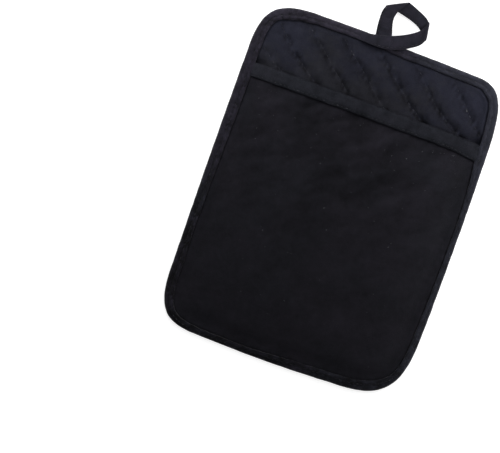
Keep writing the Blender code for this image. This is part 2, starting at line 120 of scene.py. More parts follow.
def cells(down: int, across: int) -> tuple[Array, Array]:
    """Rows and columns of the four corners of each cell of a grid that has so many cells."""
    row, column = [part.ravel()[:, None] for part in np.indices((down, across))]
    return row + np.array([0, 0, 1, 1]), column + np.array([0, 1, 1, 0])


def patch(top: Array, right: Array, bottom: Array, left: Array, s: Array, t: Array) -> Array:
    """Fill four edges with a grid.

    Each point is the blend of top and bottom, plus the blend of left and right,
    less the blend of the four corners.

    Args:
        top: Points from left to right at the shares s.
        right: Points from top to bottom at the shares t.
        bottom: As top.
        left: As right.
        s: Shares across.
        t: Shares down.

    Returns:
        Points of shape (down, across, 2).
    """
    s, t = s[None, :, None], t[:, None, None]
    between = (1 - t) * top[None] + t * bottom[None] + (1 - s) * left[:, None] + s * right[:, None]
    corners = ((1 - s) * (1 - t) * top[0] + s * (1 - t) * top[-1]
               + (1 - s) * t * bottom[0] + s * t * bottom[-1])
    return between - corners


def smooth_through(rows: Array, length: Array, count: int) -> Array:
    """A smooth curve through rows of numbers.

    Between two rows it is a cubic. Its slope at a row is the mean of the slopes
    on both sides, in which the shorter side counts for more.

    Args:
        rows: One row for each place that the curve goes through.
        length: How far along the curve each row lies.
        count: How many places to give on the curve.

    Returns:
        Rows of the same width, closer together where the given rows are.
    """
    slopes = np.gradient(rows, length, axis=0)
    by_row = np.arange(len(rows)) / (len(rows) - 1)
    place = np.interp(np.linspace(0, 1, count), (by_row + length / length[-1]) / 2, length)
    first = np.clip(np.searchsorted(length, place, side="right") - 1, 0, len(rows) - 2)
    span = (length[first + 1] - length[first])[:, None]
    t = (place - length[first])[:, None] / span
    return ((2 * t ** 3 - 3 * t ** 2 + 1) * rows[first] + (t ** 3 - 2 * t ** 2 + t) * span * slopes[first]
            + (3 * t ** 2 - 2 * t ** 3) * rows[first + 1] + (t ** 3 - t ** 2) * span * slopes[first + 1])


def from_line(x: Array, y: Array, line: tuple[float, ...]) -> Array:
    """How far places lie from a straight line.

    Args:
        x: Places across.
        y: Places along.
        line: The line's two ends, as x, y, x, y.

    Returns:
        Distances to the nearest point between the two ends.
    """
    x0, y0, x1, y1 = line
    run_x, run_y = x1 - x0, y1 - y0
    share = np.clip(((x - x0) * run_x + (y - y0) * run_y) / (run_x ** 2 + run_y ** 2), 0, 1)
    return np.hypot(x - x0 - share * run_x, y - y0 - share * run_y)


def slanted(x: Array, y: Array, cosine: float = 0.8, sine: float = 0.6) -> tuple[Array, Array]:
    """Places in axes turned anticlockwise by the angle of the cosine and sine."""
    return x * cosine + y * sine, y * cosine - x * sine


class Spot(NamedTuple):
    """A soft round patch in which cloth is paler, or darker if its shade is below 0."""

    x: float
    y: float
    wide: float
    long: float
    shade: float


def spotted(x: Array, y: Array, *spots: Spot) -> Array:
    """What soft patches add to the tone at places."""
    return sum(spot.shade * bell((x - spot.x) / spot.wide) * bell((y - spot.y) / spot.long)
               for spot in spots)


class Layer(NamedTuple):
    """One of several noises that are added up."""

    size: float             # of its bumps
    height: float           # of its highest bumps
    narrow: float = 1.0     # how many times shorter its bumps are along y
    shift_y: float = 0.0    # so that layers don't repeat one another
    shift_x: float = 0.0


class Clouds:
    """Soft seeded noise: random heights on a lattice, smoothly joined."""

    LATTICE = 256
    START = (61.3, 27.7)    # the lattice's place at x and y of 0

    def __init__(self, seed: int) -> None:
        """Draw the lattice's heights from -1 to 1."""
        side = (self.LATTICE, self.LATTICE)
        self.heights = np.random.default_rng(seed).uniform(-1.0, 1.0, side)

    def at(self, x: Array, y: Array | float, size: float) -> Array:
        """Heights at places.

        Args:
            x: Places along one axis.
            y: Places along the other, or one number for a line.
            size: Distance between two lattice points, which is about a bump's size.

        Returns:
            Heights from -1 to 1.
        """
        u, v = np.broadcast_arrays(x / size + self.START[0], y / size + self.START[1])
        i, j = np.floor(u).astype(int), np.floor(v).astype(int)
        s, t = ease(u - i), ease(v - j)
        left, right = i % self.LATTICE, (i + 1) % self.LATTICE
        low, high = [self.heights[left, row] * (1 - s) + self.heights[right, row] * s
                     for row in (j % self.LATTICE, (j + 1) % self.LATTICE)]
        return low * (1 - t) + high * t

    def sum(self, x: Array, y: Array | float, *layers: Layer) -> Array:
        """Heights of several layers at places, added up."""
        return sum(self.at(x + layer.shift_x, y * layer.narrow + layer.shift_y, layer.size) * layer.height
                   for layer in layers)


# ------------------------------------------------------------------- meshes
class Maker:
    """Puts worked-out surfaces into meshes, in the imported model's frame."""

    GRAIN_SHARES = np.array([-1.0, -0.82, -0.4, 0.4, 0.82, 1.0])    # where a stitch's rings are, along it
    GRAIN_SIDES = 6
    BLUNT = 0.03        # keeps a stitch's two end rings from closing to a point

    def __init__(self, shift: Array) -> None:
        """Keep the way from the plan's middle to the model's origin."""
        self.shift = np.array([*shift, 0.0])

    def mesh(self, name: str, points: Array, faces: Array, uv: Array | None = None,
             tone: Array | None = None, faded: Array | None = None) -> bpy.types.Object:
        """A smooth-shaded object from points and faces.

        Args:
            name: The piece's name.
            points: Points about the plan's middle.
            faces: Point numbers, one face a row.
            uv: For each face corner, its place on the flat cloth in mm.
            tone: The cloth's tone at each point.
            faded: How far the colour's hue leans at each point, from -0.5 to 0.5.

        Returns:
            The new object, at the origin.
        """
        mesh = bpy.data.meshes.new(name)
        mesh.from_pydata(((points + self.shift) * MM).tolist(), [], faces.tolist())
        if uv is not None:
            mesh.uv_layers.new(name="cloth").data.foreach_set("uv", uv.astype(np.float32).ravel())
        for attribute, values in (("tone", tone), ("faded", faded)):
            if values is not None:
                layer = mesh.attributes.new(attribute, "FLOAT", "POINT")
                layer.data.foreach_set("value", values.astype(np.float32).ravel())
        mesh.shade_smooth()
        made = bpy.data.objects.new(name, mesh)
        bpy.context.scene.collection.objects.link(made)
        return made

    def grid(self, name: str, points: Array, uv: Array, tone: Array, closed: bool = False,
             faded: Array | None = None) -> bpy.types.Object:
        """A sheet from a grid of points.

        Args:
            name: The piece's name.
            points: Points of shape (rows, columns, 3).
            uv: Places on the flat cloth in mm, with one row more if closed.
            tone: The mesh's tone, of shape (rows, columns).
            closed: Whether the last row joins the first.
            faded: The mesh's faded, of the same shape as tone.

        Returns:
            The new object.
        """
        rows, columns = points.shape[:2]
        row, column = cells(rows if closed else rows - 1, columns - 1)
        faces = (row % rows) * columns + column
        tone = np.broadcast_to(tone, (rows, columns))
        return self.mesh(name, points.reshape(-1, 3), faces, uv[row, column], tone, faded)

    def walled(self, thickness: float, *arguments: str | Array, **options: bool | Array) -> bpy.types.Object:
        """A sheet as grid makes it, with a wall, half of it on each side.

        Args:
            thickness: The wall's thickness.
            arguments: What grid takes.
            options: What else grid takes.

        Returns:
            The new object.
        """
        piece = self.grid(*arguments, **options)
        wall = piece.modifiers.new("wall", "SOLIDIFY")
        wall.thickness = thickness * MM
        wall.offset = 0.0
        wall.use_even_offset = False
        return piece

    def threads(self, name: str, middles: Array, directions: Array, lengths: Array | float,
                width: float, height: float, ups: Array = UP) -> bpy.types.Object:
        """Many short stitches in one mesh, each a rounded grain of thread.

        A grain is rings round its direction whose size follows the root of
        1 less the square of the share of the way from the middle to its end.

        Args:
            name: The piece's name.
            middles: Middle of each stitch.
            directions: Vectors along the stitches, of any length.
            lengths: Length of each stitch, or of them all.
            width: Width of the thread.
            height: Its height out of the cloth.
            ups: Unit vectors out of the cloth, or one for all of it.

        Returns:
            The new object.
        """
        share, sides, count = self.GRAIN_SHARES, self.GRAIN_SIDES, len(middles)
        directions, ups = unit(directions), np.broadcast_to(ups, middles.shape)
        lengths = np.broadcast_to(lengths, (count,))
        size = np.sqrt(np.maximum(1 - share ** 2, self.BLUNT))[:, None]
        turn = np.arange(sides) * math.tau / sides
        axes = (directions, np.cross(ups, directions), ups)
        forward, beside, up = [axis[:, None, None] for axis in axes]
        points = (middles[:, None, None]
                  + forward * (share[None, :, None, None] * lengths[:, None, None, None] / 2)
                  + beside * (size * np.cos(turn))[None, ..., None] * width / 2
                  + up * (size * np.sin(turn))[None, ..., None] * height / 2)
        each = len(share) * sides
        ring, side = cells(len(share) - 1, sides)
        start_cap = np.array([[3, 2, 1, 0], [5, 4, 3, 0]])
        end_cap = np.array([[0, 1, 2, 3], [0, 3, 4, 5]]) + each - sides
        faces = np.concatenate([ring * sides + side % sides, start_cap, end_cap])
        faces = (faces[None] + np.arange(count)[:, None, None] * each).reshape(-1, 4)
        return self.mesh(name, points.reshape(-1, 3), faces)


# ---------------------------------------------------------------- materials
class Wire:
    """A shader value that can be reckoned with like a number."""

    def __init__(self, graph: Graph, socket: bpy.types.NodeSocket) -> None:
        """Wrap an output socket of a node of the graph."""
        self.graph, self.socket = graph, socket

    def _math(self, operation: str, *values: Wire | float) -> Wire:
        """The Math node of one operation on the values."""
        return self.graph.node("ShaderNodeMath", {"operation": operation}, dict(enumerate(values)))

    def __add__(self, other: Wire | float) -> Wire:
        """Sum."""
        return self._math("ADD", self, other)

    def __sub__(self, other: Wire | float) -> Wire:
        """Difference."""
        return self._math("SUBTRACT", self, other)

    def __rsub__(self, other: Wire | float) -> Wire:
        """A number less this value."""
        return self._math("SUBTRACT", other, self)

    def __mul__(self, other: Wire | float) -> Wire:
        """Product."""
        return self._math("MULTIPLY", self, other)

    __radd__ = __add__
    __rmul__ = __mul__

    def sine(self) -> Wire:
        """Sine."""
        return self._math("SINE", self)

    def size(self) -> Wire:
        """Value without its sign."""
        return self._math("ABSOLUTE", self)

    def ramp(self, low: float, high: float) -> Wire:
        """Smooth step from 0 at low to 1 at high."""
        return self.graph.node("ShaderNodeMapRange", {"interpolation_type": "SMOOTHSTEP"},
                               {"Value": self, "From Min": low, "From Max": high})


class Graph:
    """The nodes of one material, or of the world."""

    def __init__(self, owner: bpy.types.Material | bpy.types.World) -> None:
        """Empty the owner's nodes.

        Args:
            owner: The material or the world.
        """
        owner.use_nodes = True
        owner.node_tree.nodes.clear()
        self.owner, self.tree = owner, owner.node_tree

    def add(self, kind: str, settings: dict, inputs: dict) -> bpy.types.Node:
        """A node of any type.

        Args:
            kind: The node's type.
            settings: Its own settings, which are set first.
            inputs: Values or wires for its sockets, by name or number.

        Returns:
            The node.
        """
        node = self.tree.nodes.new(kind)
        for name, value in settings.items():
            setattr(node, name, value)
        for name, value in inputs.items():
            if isinstance(value, Wire):
                self.tree.links.new(value.socket, node.inputs[name])
            else:
                node.inputs[name].default_value = value
        return node

    def node(self, kind: str, settings: dict, inputs: dict, output: str | int = 0) -> Wire:
        """One output of a new node; the arguments are those of add."""
        return Wire(self, self.add(kind, settings, inputs).outputs[output])

    def place(self, kind: str = "Object") -> Wire:
        """Coordinates of the named kind."""
        return self.node("ShaderNodeTexCoord", {}, {}, kind)

    def attribute(self, name: str) -> Wire:
        """A number that the mesh carries at each point."""
        return self.node("ShaderNodeAttribute", {"attribute_name": name}, {}, "Fac")

    def mix(self, share: Wire | float, low: Wire | Colour, high: Wire | Colour) -> Wire:
        """Blend of two colours."""
        low, high = [end if isinstance(end, Wire) else (*end, 1.0) for end in (low, high)]
        return self.node("ShaderNodeMix", {"data_type": "RGBA"}, {0: share, 6: low, 7: high}, 2)

    def noise(self, place: Wire, scale: float, detail: float) -> Wire:
        """Noise from 0 to 1 at a place."""
        return self.node("ShaderNodeTexNoise", {}, {"Vector": place, "Scale": scale, "Detail": detail})

    def shade(self, inputs: dict, relief: Wire | None = None) -> bpy.types.Material:
        """Finish a material.

        Args:
            inputs: Values or wires for the shader's sockets.
            relief: Height of the surface in mm, if it isn't smooth.

        Returns:
            The material.
        """
        if relief is not None:
            bump = {"Height": relief, "Distance": MM, "Strength": 1.0}
            inputs = {**inputs, "Normal": self.node("ShaderNodeBump", {}, bump)}
        shader = self.node("ShaderNodeBsdfPrincipled", {}, inputs)
        self.add("ShaderNodeOutputMaterial", {}, {"Surface": shader})
        return self.owner


@dataclass(frozen=True)
class Cotton:
    """A cotton cloth: its colour, yarns and fuzz."""

    name: str
    dark: Colour
    light: Colour
    plum: Colour                # the light colour where the hue leans to plum
    yarn: float = 0.42          # mm from one yarn to the next
    relief: float = 0.09        # mm, height of the yarns
    roughness: tuple[float, float] = (0.72, 0.95)
    sheen: float = 0.06
    gloss: float = 0.05
    cloudiness: float = 0.35    # how far the dye goes from dark to light
    mottling: float = 0.30      # the same for spots of a few mm
    noises: tuple[tuple[float, float], ...] = (     # scale, for each metre, and detail
        (2600.0, 2.0), (310.0, 2.0), (55.0, 3.0), (28.0, 1.0))

    def yarns(self, graph: Graph, place: Wire) -> Wire:
        """Height of the yarns of a plain weave, 0 to 1.

        Each yarn is a rounded ridge, the size of a sine. The one that shows goes
        over the other where their two sines have the same sign.

        Args:
            graph: The material's nodes.
            place: Place on the flat cloth in mm.

        Returns:
            The height.
        """
        parts = graph.add("ShaderNodeSeparateXYZ", {}, {0: place}).outputs
        warp, weft = [(Wire(graph, part) * (math.pi / self.yarn)).sine() for part in parts[:2]]
        over = (warp * weft).ramp(-0.35, 0.35)
        return warp.size() * over + weft.size() * (1 - over)

    @cache
    def material(self) -> bpy.types.Material:
        """The cloth's material.

        Returns:
            A material that reads the cloth's own places from its UV map.
        """
        graph = Graph(bpy.data.materials.new(self.name))
        place = graph.node("ShaderNodeUVMap", {"uv_map": "cloth"}, {})
        where = graph.place()
        height = self.yarns(graph, place)
        slub = graph.noise(place, 1.3, 3.0)
        fuzz, mottle, cloud, leaning = [graph.noise(where, *noise) for noise in self.noises]
        # the mesh's tone, the cloth's clouds, slubs, mottling and pale fuzz, with painted shade between the
        # yarns and their tops painted paler
        shade = (graph.attribute("tone") + (cloud - 0.5) * self.cloudiness + (slub - 0.5) * 0.55
                 + (mottle - 0.5) * self.mottling + (height - 0.5) * 0.3 + fuzz.ramp(0.55, 0.8) * 0.2)
        hue = (leaning * 0.6 + mottle * 0.4 + graph.attribute("faded")).ramp(0.35, 0.65)
        low, high = self.roughness
        return graph.shade({
            "Base Color": graph.mix(shade, self.dark, graph.mix(hue, self.light, self.plum)),
            "Roughness": low + (high - low) * fuzz,
            "Sheen Weight": self.sheen,
            "Sheen Roughness": 0.45,
            "Specular IOR Level": self.gloss,
        }, height * self.relief + slub * 0.10 + fuzz * 0.05)


@dataclass(frozen=True)
class Thread:
    """Sewing thread: two plies that catch a little more light than the cloth."""

    name: str
    dark: Colour
    light: Colour
    gloss: float = 0.2
    pale: tuple[float, float] = (0.45, 0.75)    # from where to where on the noise a stitch grows paler: painted glints on the black thread, paler fibres in the lint

    @cache
    def material(self) -> bpy.types.Material:
        """The thread's material, with colour that varies from stitch to stitch; the
        pale stitches of the black thread are painted glints.

        Returns:
            A material that reads places from the mesh itself.
        """
        graph = Graph(bpy.data.materials.new(self.name))
        where = graph.place()
        ply = graph.noise(where, 3000.0, 1.0)
        return graph.shade({
            "Base Color": graph.mix(graph.noise(where, 330.0, 1.0).ramp(*self.pale), self.dark, self.light),
            "Roughness": 0.4 + ply * 0.25,
            "Specular IOR Level": self.gloss,
        }, ply * 0.08)


@dataclass(frozen=True)
class PaleFloor:
    """The plain pale floor: a matt white with the faintest cloudiness."""

    name: str = "pale_floor"
    colour: float = 0.62
    clouded: float = 0.985      # times the colour, where it is darkest
    glow: float = 0.68          # so strong that the holder's own shade hardly shows

    def material(self) -> bpy.types.Material:
        """The floor's material.

        Returns:
            A material that glows a little of itself.
        """
        graph = Graph(bpy.data.materials.new(self.name))
        cloud = graph.noise(graph.place(), 3.0, 2.0)
        return graph.shade({
            "Base Color": graph.mix(cloud, (self.colour,) * 3, (self.colour * self.clouded,) * 3),
            "Roughness": 0.9,
            "Specular IOR Level": 0.1,
            "Emission Color": (1.0, 1.0, 1.0, 1.0),
            "Emission Strength": self.glow,
        })


QUILT_COTTON = Cotton("quilt_cotton", (0.0015, 0.0015, 0.0024), (0.0212, 0.0224, 0.0360),
                      (0.0222, 0.0226, 0.0290))
POCKET_COTTON = Cotton("pocket_cotton", (0.0012, 0.0012, 0.0018), (0.0165, 0.0168, 0.0225),
                       (0.0172, 0.0160, 0.0222), yarn=0.34)
TAPE_COTTON = Cotton("tape_cotton", (0.0014, 0.0014, 0.0020), (0.0216, 0.0224, 0.0318),
                     (0.0234, 0.0210, 0.0318), yarn=0.38, sheen=0.10, gloss=0.04)
MOUTH_COTTON = Cotton("mouth_cotton", (0.0014, 0.0015, 0.0018), (0.0292, 0.0314, 0.0392),
                      (0.0300, 0.0308, 0.0392), yarn=0.38, sheen=0.0, gloss=0.0,
                      cloudiness=0.2, mottling=0.16)
# the black thread's light colour is a painted glint, which the paler stitches show
BLACK_THREAD = Thread("black_thread", (0.006, 0.006, 0.009), (0.060, 0.060, 0.074), pale=(0.52, 0.82))
PALE_LINT = Thread("pale_lint", (0.04, 0.04, 0.045), (0.15, 0.15, 0.16))


def dress(piece: bpy.types.Object, finish: Cotton | Thread, slot: Slot, *nodes: str) -> bpy.types.Object:
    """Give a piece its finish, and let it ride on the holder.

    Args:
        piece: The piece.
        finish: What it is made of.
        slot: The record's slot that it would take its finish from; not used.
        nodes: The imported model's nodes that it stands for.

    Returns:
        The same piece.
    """
    piece.data.materials.append(finish.material())
    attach(piece, BODY)
    if nodes:
        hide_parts(*nodes)
    LOG.info("%s: %d faces", piece.name, len(piece.data.polygons))
    return piece


# ------------------------------------------------------------------ the plan
class Corner(NamedTuple):
    """Where two sides would meet, and how far the round reaches along each."""

    x: float
    y: float
    reach_x: float
    reach_y: float


@dataclass
class Plan:
    """The holder's outline, clockwise from the top left.

    A station counts corners and sides in turn: 0 to 1 is the top left corner,
    1 to 2 the top side, and so on up to 8. Charts hold a number for each point
    of a lattice over the outline and a little beyond it.
    """

    corners: tuple[Corner, ...] = (
        Corner(-95.0, 128.0, 48.0, 40.0), Corner(96.0, 121.5, 25.0, 59.0),
        Corner(95.0, -124.0, 51.0, 58.0), Corner(-94.0, -123.5, 36.0, 41.0))
    fullness: float = 0.78      # of a corner: 0.55 would be a plain quarter round
    bow: tuple[float, ...] = (0.6, 0.6, 1.2, 0.4)
    top_step: float = 1.6       # the top edge drops this much from step_from to step_to
    step_from: float = -8.0
    step_to: float = 15.0
    lattice: float = 1.5
    margin: float = 6.0
    facets: int = 480
    softenings: int = 90
    soft_from: float = 10.0     # the depth from which the ridges are rounded off
    soft_length: float = 16.0
    edge: Array = field(init=False)
    low: Array = field(init=False)          # the charts' first corner
    depths: Array = field(init=False)       # chart of the distance to the outline
    nearest: Array = field(init=False)      # chart of the nearest station
    softened: Array = field(init=False)     # depths with its ridges rounded off

    def __post_init__(self) -> None:
        """Work out the outline and the charts."""
        self.edge = self.points(np.linspace(0, STATIONS, self.facets, endpoint=False))
        self.low = self.edge.min(0) - self.margin
        counts = np.ceil((self.edge.max(0) + self.margin - self.low) / self.lattice).astype(int) + 1
        x, y = [self.low[i] + self.lattice * np.arange(counts[i]) for i in (0, 1)]
        run = np.roll(self.edge, -1, axis=0) - self.edge
        self.depths, self.nearest = np.zeros(counts), np.zeros(counts)
        row = np.arange(len(y))
        for column, across in enumerate(x):
            offset = np.stack([np.full_like(y, across), y], axis=1)[:, None] - self.edge[None]
            share = np.clip((offset * run).sum(2) / (run * run).sum(1), 0, 1)
            away = np.linalg.norm(offset - run * share[..., None], axis=2)
            closest = away.argmin(1)
            self.depths[column] = away[row, closest]
            self.nearest[column] = (closest + share[row, closest]) * STATIONS / self.facets
        self.softened = self.depths
        for _ in range(self.softenings):
            padded = np.pad(self.softened, 1, mode="edge")
            self.softened = (padded[:-2, 1:-1] + padded[2:, 1:-1] + padded[1:-1, :-2] + padded[1:-1, 2:]) / 4

    def corner_points(self, index: int, share: Array) -> Array:
        """A round corner: a cubic curve that leaves each side along that side.

        Args:
            index: The corner's number.
            share: Shares of the way round it.

        Returns:
            One point for each share.
        """
        corner = self.corners[index]
        apex = np.array(corner[:2])
        reach = (corner.reach_x, corner.reach_y) if index % 2 else (corner.reach_y, corner.reach_x)
        ends = []
        for other, length in zip((index - 1, (index + 1) % 4), reach):
            away = np.array(self.corners[other][:2]) - apex
            ends.append(apex + away / np.linalg.norm(away) * length)
        pulls = [end + (apex - end) * self.fullness for end in ends]
        t = share[:, None]
        return ((1 - t) ** 3 * ends[0] + 3 * (1 - t) ** 2 * t * pulls[0]
                + 3 * (1 - t) * t ** 2 * pulls[1] + t ** 3 * ends[1])

    def side_points(self, index: int, share: Array) -> Array:
        """A side: straight, bowed out, and at the top with a small step.

        Args:
            index: The side's number.
            share: Shares of the way along it.

        Returns:
            One point for each share.
        """
        start = self.corner_points(index, np.array([1.0]))[0]
        end = self.corner_points((index + 1) % 4, np.array([0.0]))[0]
        outward = np.array(((0, 1), (1, 0), (0, -1), (-1, 0))[index])
        t = share[:, None]
        points = start + (end - start) * t + outward * self.bow[index] * 4 * t * (1 - t)
        if index == 0:
            step = ease((points[:, 0] - self.step_from) / (self.step_to - self.step_from))
            points[:, 1] -= self.top_step * (step - share)
        return points

    def points(self, stations: Array) -> Array:
        """Points of the outline.

        Args:
            stations: Stations of any size.

        Returns:
            One point for each station.
        """
        stations = np.mod(stations, STATIONS)
        points = np.zeros((len(stations), 2))
        piece = np.floor(stations).astype(int)
        for number in range(STATIONS):
            here = piece == number
            part = self.side_points if number % 2 else self.corner_points
            points[here] = part(number // 2, stations[here] - number)
        return points

    def inward(self, stations: Array) -> Array:
        """Unit vectors into the holder, square to the outline."""
        run = unit(self.points(stations + 0.02) - self.points(stations - 0.02))
        return np.stack([run[:, 1], -run[:, 0]], axis=1)

    def inset(self, stations: Array, distance: Array | float) -> Array:
        """The outline moved inwards."""
        return self.points(stations) + self.inward(stations) * np.reshape(distance, (-1, 1))

    def read(self, chart: Array, x: Array, y: Array) -> Array:
        """Values of a chart at places, blended from its four nearest points.

        Args:
            chart: The chart.
            x: Places across.
            y: Places along.

        Returns:
            The chart's value at each place.
        """
        u, v = [np.clip((part - self.low[i]) / self.lattice, 0, chart.shape[i] - 1.001)
                for i, part in enumerate((x, y))]
        i, j = u.astype(int), v.astype(int)
        s, t = u - i, v - j
        return ((chart[i, j] * (1 - s) + chart[i + 1, j] * s) * (1 - t)
                + (chart[i, j + 1] * (1 - s) + chart[i + 1, j + 1] * s) * t)

    def depth(self, x: Array, y: Array) -> Array:
        """How deep inside the outline places lie."""
        return self.read(self.depths, x, y)

    def soft_depth(self, x: Array, y: Array) -> Array:
        """Depth whose ridges towards the corners are rounded off, true beside the edge.

        Args:
            x: Places across.
            y: Places along.

        Returns:
            Depths.
        """
        depth = self.depth(x, y)
        softer = self.read(self.softened, x, y) - depth
        return depth + softer * ease((depth - self.soft_from) / self.soft_length)

    def even_stations(self, pitch: float) -> Array:
        """Stations all the way round at an even pitch.

        Args:
            pitch: The pitch along the outline.

        Returns:
            Stations from 0 to 8.
        """
        dense = np.linspace(0, STATIONS, 4001)
        length = along(self.points(dense))
        count = round(length[-1] / pitch)
        return np.interp(np.arange(count) * length[-1] / count, length, dense)

    def inside(self, x: Array, y: Array) -> Array:
        """Whether places lie inside the outline: a ray crosses it an odd number of times.

        Args:
            x: Places across.
            y: Places along.

        Returns:
            True for places inside.
        """
        start, end = self.edge, np.roll(self.edge, -1, axis=0)
        spans = (start[:, 1] > y[:, None]) != (end[:, 1] > y[:, None])
        rise = np.where(end[:, 1] == start[:, 1], 1.0, end[:, 1] - start[:, 1])
        crossing = start[:, 0] + (y[:, None] - start[:, 1]) * (end[:, 0] - start[:, 0]) / rise
        return (spans & (crossing > x[:, None])).sum(1) % 2 == 1


@dataclass
class Thickness:
    """What the layers measure where the edge tape holds them."""

    tape: float = 1.0
    cloth: float = 1.0
    gap: float = 0.3
    pad_rim: float = 2.0
    edge_dip: float = 1.7
    dip_reach: float = 8.0

    @property
    def pad_low(self) -> float:
        """Underside of the pad's rim."""
        return self.tape + self.gap

    @property
    def pocket_rim(self) -> float:
        """Middle of the pocket's cloth at its rim."""
        return self.pad_low + self.pad_rim + self.gap + self.cloth / 2

    @property
    def binding(self) -> float:
        """Height of the edge tape."""
        return self.pocket_rim + self.cloth / 2 + self.gap + self.tape

    def dip(self, depth: Array) -> Array:
        """How far the stitched layers sink towards the holder's edge."""
        return self.edge_dip * (1 - ease(depth / self.dip_reach))


@dataclass
class Assembly:
    """A sub-assembly, which builds its own meshes and dresses them."""

    maker: Maker

    def make(self) -> None:
        """Build and dress the pieces of the sub-assembly."""
        raise NotImplementedError


# -------------------------------------------------------------- the edge tape
@dataclass
class EdgeBinding(Assembly):
    """The tape folded round the edge, with its two rows of stitches."""

    plan: Plan
    layers: Thickness
    widths: tuple[tuple[float, float], ...] = (     # the front's, at stations
        (0.0, 8.5), (0.45, 7.9), (0.7, 9.1), (0.85, 8.2), (1.0, 7.3), (2.0, 7.0), (2.1, 6.9), (2.3, 8.0),
        (2.5, 6.9), (2.7, 7.5), (3.0, 7.2), (3.2, 4.8), (3.35, 4.2), (3.6, 4.4), (4.0, 5.2), (4.4, 5.6),
        (4.55, 7.3), (4.75, 7.7), (5.0, 7.2), (5.3, 7.0), (5.65, 4.9), (6.0, 5.0), (6.5, 6.4), (7.0, 7.5),
        (7.2, 6.8), (7.5, 7.8), (7.8, 8.5), (8.0, 8.5))
    back_width: float = 7.0
    fold_reach: float = 2.2
    leg: float = 0.38           # share of the tape's width up to the fold, on either side
    turn_from: float = 0.32     # share at which the surface starts to turn over
    pressed_from: float = -23.0
    pressed_to: float = 28.0
    pressed_ease: float = 9.0
    stitch_pitch: float = 3.4
    stitch_size: tuple[float, float] = (0.5, 0.35)      # the thread's width and height, as for the other rows
    stitch_sunk: float = 0.36           # below the top of the tape
    stitch_from_edge: float = 2.9       # from the tape's inner edge to the stitches
    least_stitch_inset: float = 2.3
    groove_width: float = 0.9           # of the line that the stitches press in
    groove_depth: float = 0.24
    groove_pucker: float = 0.08
    roll: float = 0.42          # how far the tape's inner edge rolls down
    roll_width: float = 0.9
    pinch: float = 0.3          # how far the cloths sink along the tape's inner edge
    painted_light_and_shade_places: tuple[float, ...] = (-124.0, -60.0, 0.0, 60.0, 125.0)
    fade: tuple[float, ...] = (-0.22, -0.15, -0.045, 0.025, 0.085)      # painted light and shade: the tone, darker at the bottom and paler at the top, at those y
    # painted light in the top right corner
    painted_light_corner: Spot = Spot(60.0, 122.0, 30.0, 12.0, 0.085)
    loop_edge: tuple[float, ...] = (5.0, 120.0, 19.5, 127.6)    # where the loop leaves the tape
    # painted shadow that the loop casts on the tape
    loop_painted_shadow: float = 0.34
    crease: tuple[float, ...] = (-77.5, 116.9, -62.5, 120.8)    # ridge in the tape at the top left corner, with painted light and shade along it
    crease_height: float = 0.15
    row_pitch: float = 0.95
    shares: int = 31
    cloth_width: float = 21.0
    flat: tuple[float, float] = (0.84, 0.0165)      # metres, as it is cut
    clouds: Clouds = field(default_factory=lambda: Clouds(11))
    widths_near: Array = field(init=False)          # chart of the width at the nearest station

    def __post_init__(self) -> None:
        """Work out the chart of the tape's width."""
        self.widths_near = self.front(self.plan.nearest)

    def beyond(self, x: Array, y: Array) -> Array:
        """How far inwards of the tape's inner edge places lie, less than 0 under the tape."""
        return self.plan.depth(x, y) - self.plan.read(self.widths_near, x, y)

    def pinched(self, x: Array, y: Array) -> Array:
        """How far the cloths under the tape sink beside its inner edge."""
        return self.pinch * bell(self.beyond(x, y) + 0.2)

    def front(self, stations: Array) -> Array:
        """Width of the tape on the front."""
        return np.interp(np.mod(stations, STATIONS), *np.array(self.widths).T)

    def pressed(self, x: Array, y: Array) -> Array:
        """1 where the loop's lower band lies on the tape, 0 away from it."""
        rise = ease((x - self.pressed_from) / self.pressed_ease)
        return rise * ease((self.pressed_to - x) / self.pressed_ease) * (y > 0)

    def height(self, stations: Array) -> Array:
        """Height of the folded tape."""
        press = self.layers.cloth + self.layers.gap
        return self.layers.binding - press * self.pressed(*self.plan.points(stations).T)

    def stitch_inset(self, stations: Array) -> Array:
        """How far in from the outline the stitches run."""
        return np.maximum(self.front(stations) - self.stitch_from_edge, self.least_stitch_inset)

    def section(self, stations: Array, share: Array) -> tuple[Array, Array]:
        """The folded tape's surface at stations and shares across its width.

        From share 0 at the front's inner edge to 1 at the back's: the legs are
        level, and the fold between them is half an ellipse.

        Args:
            stations: Stations of shape (n,).
            share: Shares of shape (m,).

        Returns:
            Distance in from the outline and height, each of shape (n, m).
        """
        front = self.front(stations)[:, None]
        start = self.layers.tape / 2
        fold_at = start + self.fold_reach
        turn = ease((share - self.turn_from) / (1 - 2 * self.turn_from))[None] * math.pi
        front_leg = np.clip(share / self.leg, 0, 1)[None]
        back_leg = np.clip((share - 1 + self.leg) / self.leg, 0, 1)[None]
        fold = start + self.fold_reach * (1 - np.sin(turn)) + 0 * front
        inset = np.where(front_leg < 1, front + (fold_at - front) * front_leg,
                         np.where(back_leg > 0, fold_at + (self.back_width - fold_at) * back_leg, fold))
        facing = (1 + np.cos(turn)) / 2
        rise = self.height(stations)[:, None] - self.layers.tape
        return inset, start + rise * facing - self.layers.dip(inset) * facing

